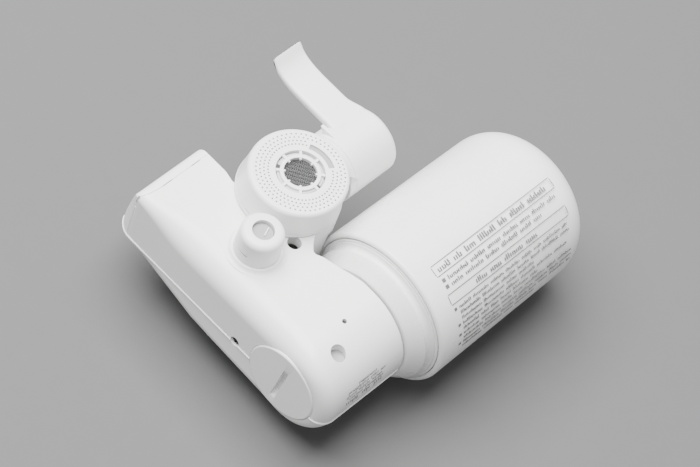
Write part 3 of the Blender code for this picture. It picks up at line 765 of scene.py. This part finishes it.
def display_cutters():
    recess = prism("display_recess", rounded_rectangle(11, 7.5, 1.5), -3.0, 1.4, aim=onto_display)
    opening = prism("display_opening", rounded_rectangle(9, 5.5, 1), -3.0, 6.0, aim=onto_display)
    return recess, opening, disc("button_opening", 3.4, -4.0, 6.0, (0, 0, 0), onto_button)


def display_bar(left, right, low, high):
    outline = [(left, low), (right, low), (right, high), (left, high)]
    return prism("bar", outline, 2.33, 2.5, aim=onto_display)


def make_display():
    window = rounded_rectangle(10.7, 7.2, 1.4)
    low = [(x, y, 1.1) for x, y in window]
    rim = [(x, y, 0.25) for x, y in window]
    top = [(x * 0.985, y * 0.98, 0.0) for x, y in window]
    pane = loft("display_pane", [low, rim, top], aim=onto_display)
    settle(pane, CLEAR, "housing", ["display_window"])
    panel = prism("display_panel", [(x * 0.93, y * 0.94) for x, y in window], 2.4, 4.2, aim=onto_display)
    settle(panel, PALE_GREY, "housing", ["lcd_panel"])
    first_x, foot_y = -7.4, -4.6
    marks = []
    for column in range(8):
        x = first_x + column * 1.9
        height = 1.4 + 0.45 * column
        marks.append(display_bar(x, x + 1.3, foot_y, height + foot_y))
    marks.append(display_bar(first_x, -2.4, 2.4, 3.2))
    settle(merged("display_bars", marks), INK, "housing")
    profile = [(0, 4.1), (1.2, 4.1), (1.2, 3.2), (4.3, 3.2), (4.3, 2.4), (3.0, 2.4)]
    profile += [(3.0, -0.3), (2.85, -0.65), (2.4, -0.85), (1.2, -0.75), (0, -0.72)]
    button = turned("reset_key", profile, aim=onto_button, steps=SMALL)
    settle(button, GREY, "button", ["reset_button"])


# ---------------- battery cover


def make_battery_cover():
    face = COVER_FACE_X
    back = [(0, -25.6), (12.4, -25.6), (12.4, -26.0), (11.0, -26.0), (11.0, -27.5)]
    back += [(12.4, -27.5), (12.4, -28.5), (COVER_RADIUS, -28.5)]
    front = [(COVER_RADIUS, face + 0.5), (COVER_RADIUS - 0.45, face + 0.04)]
    front += [(COVER_RADIUS - 0.55, face), (0, face)]
    cover = turned("coin_cell_cover", back + front, ON_CARTRIDGE, along_x)
    length, width, depth = 19.3, 2.2, 2.2
    tilt = Matrix.Rotation(math.radians(5.35), 3, "X")
    radius = (length ** 2 / 4 + depth ** 2) / (2 * depth)
    middle = Vector((face + depth - radius, 0.3, AXIS_Z - 1.4))

    def upright_slot(point):
        return tuple(middle + tilt @ Vector((point[0], point[2], point[1])))

    cut(cover, disc("coin_slot", radius, -width / 2, width / 2, aim=upright_slot, steps=ROUND))
    settle(cover, WHITE, "battery_cover_group", ["battery_cover"])


# ---------------- cartridge


def cartridge_outer(inwards, steps=24):
    """The domed end, very slightly crowned in the middle, from its tip to the side."""
    corner = DOME_CORNER - inwards
    flat = END_RADIUS - DOME_CORNER
    points = [(0, TIP_X - inwards)]
    points += [(flat * share, TIP_X - inwards - 0.05 * share ** 2) for share in (0.3, 0.55, 0.8)]
    for step in range(1, steps + 1):
        angle = math.radians(90 * step / steps)
        points.append((flat + corner * math.sin(angle), DOME_X - 0.05 + corner * math.cos(angle)))
    return points


def make_cartridge():
    rim = corner_arc((CARTRIDGE_RADIUS, 22.0), (31.3, RIM_X), (29.3, RIM_X), 1.5, 8)
    inner = [(29.3, RIM_X + 0.5), (29.3, 40.0), *reversed(cartridge_outer(2.1))]
    shell = turned("cartridge_bottle", [*cartridge_outer(0.0), *rim, *inner], ON_CARTRIDGE, along_x)
    settle(shell, CARTRIDGE_WHITE, "cartridge", ["cartridge_shell"])

    seam = [(29.1, 24.0), (29.1, RIM_X - 0.1), (28.9, RIM_X - 0.25)]
    seam += [(28.2, RIM_X - 0.25), (28.1, RIM_X - 0.6)]
    hollow = [(27.7, RIM_X - 0.7), *arc((28.2, RIM_X - 2.5), 1.9, 115, 205, 10)]
    hollow += [(26.6, 16.3), (26.75, 16.0), (27.1, 15.7)]
    neck = [(26.6, 14.9), (25.9, 13.9), (25.2, 13.0), (24.5, 12.1), (23.9, 11.3), (23.45, 10.75)]
    neck_radius, neck_x = NECK_END
    end = [(neck_radius - 0.5, neck_x), (SPIGOT_RADIUS + 0.3, neck_x), (SPIGOT_RADIUS, neck_x - 0.3)]
    spigot = [(SPIGOT_RADIUS, -1.0), (15.0, -1.0), (15.0, -3.6), (SPIGOT_RADIUS, -3.6), (SPIGOT_RADIUS, -6.2)]
    spigot += [(SPIGOT_RADIUS - 0.6, SPIGOT_END_X), (4.0, SPIGOT_END_X), (4.0, 24.0)]
    base = turned("cartridge_neck", seam + hollow + neck + end + spigot, ON_CARTRIDGE, along_x, closed=True)
    settle(base, NECK_WHITE, "cartridge", ["cartridge_base"])
    bead = rounded([(15.3, -3.2, 0.8), (17.35, -3.2, 0.8), (17.35, -1.4, 0.8), (15.3, -1.4, 0.8)])
    seal = turned("spigot_seal", bead, ON_CARTRIDGE, along_x, closed=True)
    settle(seal, RUBBER_AND_SHADE_BLACK, "cartridge_seal_ring", ["cartridge_seal"])


def bent_bar(radius, angles, along, thickness=0.04):
    """A thin bar lying on a cylinder about the cartridge's axis; angles run from +Z towards -Y."""
    parts = max(1, math.ceil(abs(angles[1] - angles[0]) / 2.0))
    inner, outer = radius - 0.05, radius + thickness
    corners = ((along[0], inner), (along[1], inner), (along[1], outer), (along[0], outer))
    rings = []
    for part in range(parts + 1):
        angle = math.radians(angles[0] + (angles[1] - angles[0]) * part / parts)
        rings.append([(x, -r * math.sin(angle), AXIS_Z + r * math.cos(angle)) for x, r in corners])
    return rings


def add_solid(shape, rings):
    """Adds a loft through small rings to a mesh being made."""
    rows = [[shape.verts.new(ORIGIN + Vector(p) * MM) for p in one] for one in rings]
    count = len(rows[0])
    shape.faces.new(rows[0][::-1])
    shape.faces.new(rows[-1])
    for lower, upper in zip(rows, rows[1:]):
        for i in range(count):
            j = (i + 1) % count
            shape.faces.new((lower[i], lower[j], upper[j], upper[i]))


def words(shape, radius, row_angle, start, end, height, dice, stroke=0.42, flip=1):
    """A row of short strokes grouped like words, with no letters in it."""
    degrees = math.degrees(1 / radius)
    x = start
    while x < end - 2.0:
        word_end = min(end, x + dice.uniform(4.0, 11.0))
        while x < word_end - stroke:
            tall = height * dice.choice((0.62, 0.62, 0.7, 1.0))
            base = row_angle + flip * height / 2 * degrees
            add_solid(shape, bent_bar(radius, (base - flip * tall * degrees, base), (x, x + stroke)))
            step = stroke * 2.2
            if dice.random() < 0.55:
                bridge = base - flip * dice.choice((0.1, 0.34, 0.56)) * height * degrees
                angles = (bridge - 0.13 * degrees, bridge + 0.13 * degrees)
                add_solid(shape, bent_bar(radius, angles, (x, min(word_end, x + step)), 0.035))
            x += step
        x += height * 0.75


def frame_box(shape, radius, angles, along, line=0.28):
    """A rectangle's four sides as thin raised lines, with a short bar across each corner."""
    degrees = math.degrees(1 / radius)
    half = line / 2
    for angle in angles:
        side = (angle - half * degrees, angle + half * degrees)
        add_solid(shape, bent_bar(radius, side, (along[0] + 0.5, along[1] - 0.5)))
    for x in along:
        add_solid(shape, bent_bar(radius, (angles[0] + 0.9, angles[1] - 0.9), (x - half, x + half)))
    for x, side in ((along[0], 1), (along[1], -1)):
        for angle, way in ((angles[0], 1), (angles[1], -1)):
            low, high = sorted((x, x + side * 0.6))
            first, last = sorted((angle, angle + way * 1.0))
            corner = (first, first + 0.35) if way > 0 else (last - 0.35, last)
            add_solid(shape, bent_bar(radius, corner, (low, high), 0.035))


def finish_print(name, shape, body):
    bmesh.ops.recalc_face_normals(shape, faces=shape.faces)
    settle(from_shape(name, shape), INK, body)


def make_prints():
    """Two framed headings over rows of strokes on the cartridge, and five rows on the body's round end."""
    dice = random.Random(7)
    shape = bmesh.new()
    radius = CARTRIDGE_RADIUS - 0.02
    start, end = 28.5, 92.0
    frame_box(shape, radius, (15.0, 23.0), (start, end))
    words(shape, radius, 19.0, start + 2.0, end - 2.0, 2.4, dice, 0.5)
    for row_angle in (27.0, 31.8):
        add_solid(shape, bent_bar(radius, (row_angle - 1.3, row_angle + 1.3), (start + 1.0, start + 2.5)))
        words(shape, radius, row_angle, start + 4.0, end - (9.0 if row_angle > 30 else 2.0), 1.7, dice, 0.4)
    frame_box(shape, radius, (37.0, 44.5), (start, end))
    words(shape, radius, 40.8, start + 14.0, end - 16.0, 2.1, dice, 0.46)
    for row in range(9):
        row_angle = 48.5 + row * 4.3
        if row in (0, 3, 5, 7):
            add_solid(shape, bent_bar(radius, (row_angle - 1.0, row_angle + 1.0), (start + 0.5, start + 1.7)))
        row_end = end - (20.0 if row in (2, 4, 8) else 2.0)
        words(shape, radius, row_angle, start + 3.0, row_end, 1.35, dice, 0.32)
    finish_print("cartridge_print", shape, "cartridge")

    shape = bmesh.new()
    fine, bold = (1.35, 0.3), (2.3, 0.5)
    lines = ((67.0, -13.0, -1.0, fine), (71.2, -18.5, 0.5, fine), (75.4, -19.5, 1.0, fine))
    lines += ((79.6, -18.0, -0.5, fine), (85.0, -19.5, -0.5, bold))
    for row_angle, row_start, row_end, (height, stroke) in lines:
        words(shape, ROUND_END_RADIUS, row_angle, row_start, row_end, height, dice, stroke, flip=-1)
    finish_print("body_print", shape, "housing")


# ---------------- head


def head_hole(radius, angle, size):
    spot = (HEAD[0] + radius * math.cos(angle), HEAD[1] + radius * math.sin(angle), 0)
    return disc("spray_hole", size, FACE_Z - 3.0, FACE_Z + 1.0, spot, steps=10)


def drum_wall():
    """The head's leaning wall with its face edge round, as a solid."""
    edge = 1.5
    wall_rise = FACE_Z - edge - DRUM_BASE_Z
    levels = [(wall_rise * share, 0.0) for share in (0.0, 0.25, 0.5, 0.75, 1.0)]
    for step in range(1, 11):
        turn = math.radians(9 * step)
        levels.append((wall_rise + edge * math.sin(turn), edge * (1 - math.cos(turn))))
    rings = []
    for rise, inwards in levels:
        share = rise / (FACE_Z - DRUM_BASE_Z)
        centre = Vector(DRUM_BASE).lerp(Vector(DRUM_TOP), share)
        radius = DRUM_BASE_RADIUS + (DRUM_TOP_RADIUS - DRUM_BASE_RADIUS) * share - inwards
        circle = arc(centre, radius, 0, 360 - 360 / ROUND, ROUND - 1)
        rings.append([(x, y, DRUM_BASE_Z + rise) for x, y in circle])
    return loft("spray_plate", rings)


def spray_holes():
    """Four rings of small holes; the inner two leave room for the window."""
    count = 56
    pitch = 2 * math.pi / count
    window = math.radians(34)
    holes = []
    for number, radius in enumerate((16.3, 14.85, 13.4, 11.9)):
        for i in range(count):
            angle = math.radians(51.1) + pitch * (i + 0.5 * (number % 2))
            off = abs(math.atan2(math.sin(angle), math.cos(angle)))
            if number < 2 or off > window:
                holes.append(head_hole(radius, angle, 0.35))
    return merged("spray_holes", holes)


def window_outline(inner, outer, half_angle):
    return arc(HEAD, outer, -half_angle, half_angle, 40) + arc(HEAD, inner, half_angle, -half_angle, 40)


def latch_slot():
    """The short slot low on the drum, on the side of the small outlet."""
    x, y = DRUM_BASE
    turn = Matrix.Rotation(math.atan2(LATCH[1] - y, LATCH[0] - x), 3, "Z")
    return box("latch_slot", (x + 17.9, y - 1.35, 55.2), (x + 20.5, y + 1.35, 55.8), turn, (x, y, 55.5))


def make_shower():
    cover = drum_wall()
    cut(
        cover,
        disc("drum_room", DRUM_BORE, 50.0, 65.1, ON_HEAD, steps=ROUND),
        disc("slot_ring", SLOT_OUTER, 60.0, 70.0, ON_HEAD, steps=ROUND),
        spray_holes(),
        prism("window_recess", window_outline(10.7, 12.9, 29), FACE_Z - 0.9, FACE_Z + 2),
        collar_hole(),
        latch_slot(),
    )
    settle(cover, WHITE, "housing", ["shower_cover"])
    pane = prism("mode_window", window_outline(10.75, 12.85, 28.8), FACE_Z - 0.95, FACE_Z - 0.7)
    settle(pane, WINDOW_TINT_AND_HOLLOW_SHADE, "housing")

    corners = [(0, 53.3, 0), (LIP_RADIUS, 53.3, 0.5), (LIP_RADIUS, 54.75, 0.4), (0, 54.75, 0)]
    lip = turned("shower_base_lip", rounded(corners, closed=False), (*DRUM_BASE, 0))
    cut(lip, disc("lip_bore", DRUM_BORE, 50.0, 60.0, ON_HEAD, steps=ROUND), collar_hole())
    settle(lip, WHITE, "housing", ["shower_lip"])


def make_aerator():
    profile = [(0, 66.8), (SLOT_INNER - 0.15, 66.8), (SLOT_INNER, 66.65), (SLOT_INNER, 65.3), (0, 65.3)]
    core = turned("outlet_ring", profile, ON_HEAD)
    for turn in range(4):
        swing = Matrix.Rotation(math.radians(45 * turn), 3, "Z")
        low, high = (HEAD[0] - 9.1, HEAD[1] - 0.5, 65.35), (HEAD[0] + 9.1, HEAD[1] + 0.5, 66.78)
        join(core, box("rib", low, high, swing))
    cut(core, disc("centre", AERATOR_HOLE, 60.0, 70.0, ON_HEAD, steps=ROUND))
    for turn in range(8):
        swing = Matrix.Rotation(math.radians(45 * turn), 3, "Z")
        low, high = (HEAD[0] + 5.5, HEAD[1] - 0.33, 65.5), (HEAD[0] + 6.6, HEAD[1] + 0.33, 66.7)
        join(core, box("tooth", low, high, swing, ON_HEAD))
    settle(core, WHITE, "housing", ["aerator_ring"])

    # The floor's grey is partly painted shade for the depth of the slots.
    steps = [(7.65, 64.2), (9.15, 64.2), (9.15, 65.1), (8.55, 65.1), (8.55, 65.95), (7.65, 65.95)]
    floor = turned("slot_floor", steps, ON_HEAD, closed=True)
    settle(floor, SLOT_FLOOR_SHADED_GREY, "housing", ["aerator_body"])
    pads = []
    for start, end in ((118, 131), (-87, -78)):
        outline = arc(HEAD, 9.1, start, end, 6) + arc(HEAD, 7.7, end, start, 6)
        pads.append(prism("pad", outline, 66.2, 66.3))
    settle(merged("slot_shadows", pads), RUBBER_AND_SHADE_BLACK, "housing")


def make_mesh_screen():
    """Woven wires in two directions, each over and under in turn, inside a circle."""
    pitch, wire, reach, sides = 0.56, 0.17, 6.9, 5
    swing = Matrix.Rotation(math.radians(-10.8), 2)
    shape = bmesh.new()
    lines = int(reach / pitch)
    for direction in range(2):
        for line in range(-lines, lines + 1):
            offset = line * pitch
            half = math.sqrt(max(0.0, reach ** 2 - offset ** 2))
            count = max(2, int(2 * half / (pitch / 2)))
            rings = []
            for step in range(count + 1):
                along = -half + 2 * half * step / count
                turns = along / pitch + (line if direction == 0 else -line) + 0.5
                lift = 0.16 * math.cos(math.pi / 2 * turns) * (1 - 2 * direction)
                rings.append([])
                for side in range(sides):
                    turn = 2 * math.pi * side / sides
                    across = offset + wire * math.cos(turn)
                    spot = swing @ Vector((along, across) if direction == 0 else (-across, along))
                    height = 65.1 + lift + wire * math.sin(turn)
                    rings[-1].append((HEAD[0] + spot.x, HEAD[1] + spot.y, height))
            add_solid(shape, rings)
    bmesh.ops.recalc_face_normals(shape, faces=shape.faces)
    settle(from_shape("woven_screen", shape), WIRE, "housing", crease=80)
    backing = disc("screen_backing", 7.2, 64.3, 64.6, ON_HEAD)
    settle(backing, GREY, "housing", ["aerator_screen"])


# ---------------- small outlet, nut and valve


def outlet_strip(outer, inner, start, end):
    """A curved strip's outline about the small outlet's axis, between two angles."""
    return arc(OUTLET, outer, start, end, 16) + arc(OUTLET, inner, end, start, 16)


def make_outlet():
    corners = [(OUTLET_HOLE, OUTLET_TOP_Z, 0.35), (8.15, OUTLET_TOP_Z, 2.4), (8.55, 57.0, 0), (8.65, 54.3, 0)]
    profile = [(OUTLET_HOLE, 61.5), *rounded(corners, closed=False), (6.6, 54.3), (6.6, 61.5)]
    cap = turned("small_outlet", profile, ON_OUTLET, closed=True)
    cut(cap, prism("slit", outlet_strip(10.0, 7.6, 142, 194), 58.0, 58.8))
    settle(cap, WHITE, "housing", ["outlet_cap"])
    tube = ring("outlet_nozzle", 3.4, 4.6, 37.2, 61.2, ON_OUTLET, edge=0.3)
    settle(tube, NATURAL, "housing", ["outlet_tube"])
    # Painted shadow: a black strip just behind the slit stands for the shade inside it.
    slit_shadow = prism("slit_painted_shadow", outlet_strip(8.2, 7.7, 144, 192), 58.1, 58.7)
    settle(slit_shadow, RUBBER_AND_SHADE_BLACK, "housing")
    # A shallow floor; its dark grey is painted shade standing for the depth of the outlet's hollow.
    guide = disc("outlet_floor_with_painted_shade", 3.95, 61.9, 64.5, ON_OUTLET)
    settle(guide, WINDOW_TINT_AND_HOLLOW_SHADE, "housing")
    turn = Matrix.Rotation(math.radians(22), 3, "Z")
    x, y = OUTLET[0] + 1.2, OUTLET[1] - 0.7
    rib = box("guide_rib", (x - 1.9, y - 0.2, 64.52), (x + 1.9, y + 0.2, 65.0), turn)
    settle(rib, WHITE, "housing")


def make_nut():
    bore = VALVE_RADIUS + 0.4
    corners = [(11.0, 0.0, 0.4), (NUT_RADIUS, 0.0, 1.0), (NUT_RADIUS, NUT_TOP_Z, 0.8)]
    corners += [(bore, NUT_TOP_Z, 0), (bore, 2.0, 0), (11.0, 2.0, 0.3)]
    nut = turned("tap_nut_ribbed", rounded(corners), ON_HEAD, closed=True)
    grooves = 36
    spots = arc(HEAD, NUT_RADIUS + 0.35, 0, 360 - 360 / grooves, grooves - 1)
    cut(nut, merged("grooves", [disc("groove", 0.75, 1.6, 12.0, (*spot, 0), steps=16) for spot in spots]))
    settle(nut, GREY, "tap_nut", ["inlet_nut"])
    gasket = ring("tap_gasket", 8.6, 12.8, 2.3, 4.3, ON_HEAD, steps=ROUND, edge=0.4)
    settle(gasket, RUBBER_AND_SHADE_BLACK, "housing", ["inlet_gasket"])


# ---------------- lever


def handle_profile():
    """Top and under side of the handle, as (y from the axis, z from the axis), from its root to its tip."""
    top = [(0, 10.4), (8.0, 10.6), (15.0, 10.65), (22.0, 10.7), (28.0, 10.85)]
    top += [(33.0, 11.6), (37.0, 13.2), (40.5, 16.2)]
    under = [(0, 6.9), (8.0, 7.1), (15.0, 7.2), (22.0, 7.3), (28.0, 7.5)]
    under += [(33.6, 8.6), (38.2, 11.1), (41.3, 15.2)]
    return top, under


def smooth_points(points, parts):
    """Catmull-Rom points through a polyline."""
    vectors = [Vector(p) for p in points]
    padded = [vectors[0] * 2 - vectors[1], *vectors, vectors[-1] * 2 - vectors[-2]]
    result = []
    for i in range(1, len(padded) - 2):
        a, b, c, d = padded[i - 1:i + 3]
        for part in range(parts):
            t = part / parts
            bend = (2 * a - 5 * b + 4 * c - d) * t * t + (3 * b - a - 3 * c + d) * t ** 3
            result.append(0.5 * (2 * b + (c - a) * t + bend))
    result.append(vectors[-1])
    return result


def handle():
    """The lever's handle, wider at its root and thinner at its lip."""
    top, under = (smooth_points(side, 6) for side in handle_profile())
    low_x, high_x = 41.8, 56.0
    centre = (low_x + high_x) / 2
    lip = 6
    rings = []
    for i, (above, below) in enumerate(zip(top, under)):
        middle = (above + below) / 2
        reach = (above - below).length / 2
        rise = (above - below).normalized()
        taper = 1.0
        left_over = len(top) - 1 - i
        if left_over < lip:
            taper = math.sqrt(max(0.0, 1 - ((lip - left_over) / lip) ** 2)) * 0.3 + 0.7
        wide_x = high_x + 2.3 * (1 - ease(above.x, 6.0, 15.0))
        corners = [(low_x, -reach), (wide_x, -reach), (wide_x, reach), (low_x, reach)]
        ring_points = []
        for x, up in rounded([(*point, 1.25) for point in corners], steps=5):
            spot = middle + rise * up * taper
            side = centre + (x - centre) * (1 - (1 - taper) * 0.1)
            ring_points.append((side, spot.x, spot.y))
        rings.append(ring_points)
    return loft("handle", rings, ON_LEVER)


def make_lever():
    end = corner_arc((4.0, LEVER_END_X), (LEVER_RADIUS, LEVER_END_X), (LEVER_RADIUS, 40.0), 2.6, 10)
    start = corner_arc((LEVER_RADIUS, 45.0), (LEVER_RADIUS, LEVER_START_X), (8.0, LEVER_START_X), 0.1, 4)
    profile = [(3.4, 55.0), (3.4, LEVER_END_X - 0.3), (3.7, LEVER_END_X), *end, *start]
    profile += [(4.1, LEVER_START_X), (4.1, 50.0), (1.6, 50.0), (1.6, 55.0)]
    lever = turned("mode_lever", profile, ON_LEVER, along_x, closed=True)
    fin = [(2.6, 10.5), (8.0, 9.0), (10.6, 12.5), (2.9, 12.75)]
    join(lever, handle(), prism("fin", fin, 37.7, 39.0, ON_LEVER, along_x))
    cut(lever, disc("bore", 4.1, 36.0, 50.0, ON_LEVER, along_x))
    settle(lever, WHITE, "lever_group", ["lever"])


def make_collar():
    """The fixed ring beside the lever, with its pointer lug."""
    collar = ring("selector_ring", 9.8, LEVER_RADIUS, *COLLAR_X, ON_LEVER, along_x, ROUND, 0.08)
    rings = []
    for x, start, end in ((33.2, 139.0, 155.0), (36.1, 149.5, 152.5)):
        corners = ((12.0, start), (14.3, start), (13.2, end), (12.0, end))
        rings.append([(x, r * math.cos(math.radians(a)), r * math.sin(math.radians(a))) for r, a in corners])
    join(collar, loft("pointer", rings, ON_LEVER))
    settle(collar, WHITE, "housing", ["selector_collar"])


# ---------------- screws and pieces inside


def cross_head(name, look, body, node, radius, low, high, at, aim=upright, inwards=-1):
    """A screw with a domed head and a cross recess; its head faces away from its shank."""
    face, back = (low, high) if inwards < 0 else (high, low)
    thick = back - face
    dome = []
    steps = 6
    for step in range(steps + 1):
        angle = math.radians(90 * step / steps)
        dome.append((radius * math.sin(angle), face + thick * 0.45 * (1 - math.cos(angle))))
    shank = radius * 0.5
    tip = back + thick * 4.0
    obj = turned(name, dome + [(radius, back), (shank, back), (shank, tip), (0, tip)], at, aim, SMALL)
    low_z, high_z = sorted((face - thick * 0.6, face + thick * 0.6))
    long_half, short_half = radius * 0.62, radius * 0.14
    for x, y in ((short_half, long_half), (long_half, short_half)):
        cut(obj, prism("cross", [(-x, -y), (x, -y), (x, y), (-x, y)], low_z, high_z, at, aim))
    settle(obj, look, body, [node])


def make_screws():
    first, second = UNDER_SCREWS
    cross_head("case_screw_a", STEEL, "housing", "case_screw_1", 2.3, 16.6, 18.7, (*first[:2], 0))
    cross_head("case_screw_b", STEEL, "housing", "case_screw_2", 2.3, 22.1, 24.2, (*second[:2], 0))
    cross_head("parting_screw", BLACK_STEEL, "housing", "side_screw", 2.05, -30.0, -27.8, SIDE_SCREW, along_x)
    cross_head("lever_end_screw", STEEL, "lever_group", "lever_screw", 3.0, 55.3, 57.6, ON_LEVER, along_x, 1)


CARRIED = {
    NATURAL: ("cartridge_socket", "purified_duct", "raw_water_duct", "flow_meter_case",
              "valve_body", "media_end_disc"),
    GREY: ("battery_holder", "button_switch", "selector_shaft", "fibre_case", "flow_impeller"),
    RUBBER_AND_SHADE_BLACK: ("spool_o_ring_1", "spool_o_ring_2", "spool_o_ring_3", "battery_cover_seal"),
    STEEL: ("case_screw_3", "coin_cell", "battery_contact", "impeller_axle", "inlet_strainer"),
    CARBON: ("carbon_block",),
    FIBRE: ("hollow_fibre_bundle", "prefilter_sleeve"),
    BOARD: ("circuit_board",),
}


def dress_carried_nodes():
    for look, names in CARRIED.items():
        for name in names:
            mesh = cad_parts[name].data
            mesh.materials.clear()
            mesh.materials.append(look)


# ---------------- floor, light and camera


def make_floor():
    mesh = bpy.data.meshes.new("floor")
    reach = 3.0
    corners = [(-reach, -reach, 0), (reach, -reach, 0), (reach, reach, 0), (-reach, reach, 0)]
    mesh.from_pydata(corners, [], [(0, 1, 2, 3)])
    look = Look("pale_floor", grey(0.112), 0.8)
    look.vary_colour(look.noise(0.6, 6.0, 0.7), grey(0.118))
    look.vary_roughness(look.noise(8.0), 0.04)
    look.relief(look.noise(0.8, 4.0), 0.02)
    look.shade({"Specular IOR Level": 0.2})
    mesh.materials.append(look.material)
    linked("floor", mesh)


def make_lights():
    """One large soft square overhead, and an even white surround."""
    light = bpy.data.lights.new("overhead", "AREA")
    light.shape = "RECTANGLE"
    light.size = light.size_y = 1.5
    light.energy = 124.0
    obj = linked("overhead", light)
    obj.location = (-0.05, 0.45, 1.5)
    aim = Vector((0, 0, 0.03)) - obj.location
    obj.rotation_euler = aim.to_track_quat("-Z", "Y").to_euler()
    world = bpy.data.worlds.new("studio")
    world.use_nodes = True
    world.node_tree.nodes["Background"].inputs["Color"].default_value = (1, 1, 1, 1)
    world.node_tree.nodes["Background"].inputs["Strength"].default_value = 0.6
    bpy.context.scene.world = world


def make_camera():
    """A long lens that looks down over the outlets, turned a little about its own line of sight."""
    azimuth, elevation, roll = (math.radians(a) for a in (-64.44, 55.24, 23.02))
    distance = 1.28532
    target = ORIGIN + Vector((35.02, 29.34, 30.0)) * MM
    level = math.cos(elevation)
    back = Vector((math.sin(azimuth) * level, -math.cos(azimuth) * level, math.sin(elevation)))
    right = (-back).cross(Vector((0, 0, 1))).normalized()
    up = right.cross(-back)
    across = right * math.cos(roll) + up * math.sin(roll)
    upward = -right * math.sin(roll) + up * math.cos(roll)
    camera = bpy.data.cameras.new("camera")
    camera.lens = 180.4
    camera.sensor_width = 36.0
    camera.clip_start = 0.05
    camera.clip_end = 20.0
    obj = linked("camera", camera)
    turn = Matrix((across, upward, back)).transposed()
    obj.matrix_world = Matrix.Translation(target + back * distance) @ turn.to_4x4()
    bpy.context.scene.camera = obj


make_camera()
make_floor()
make_lights()
make_body()
make_display()
make_battery_cover()
make_cartridge()
make_prints()
make_shower()
make_aerator()
make_mesh_screen()
make_outlet()
make_nut()
make_lever()
make_collar()
make_screws()
dress_carried_nodes()
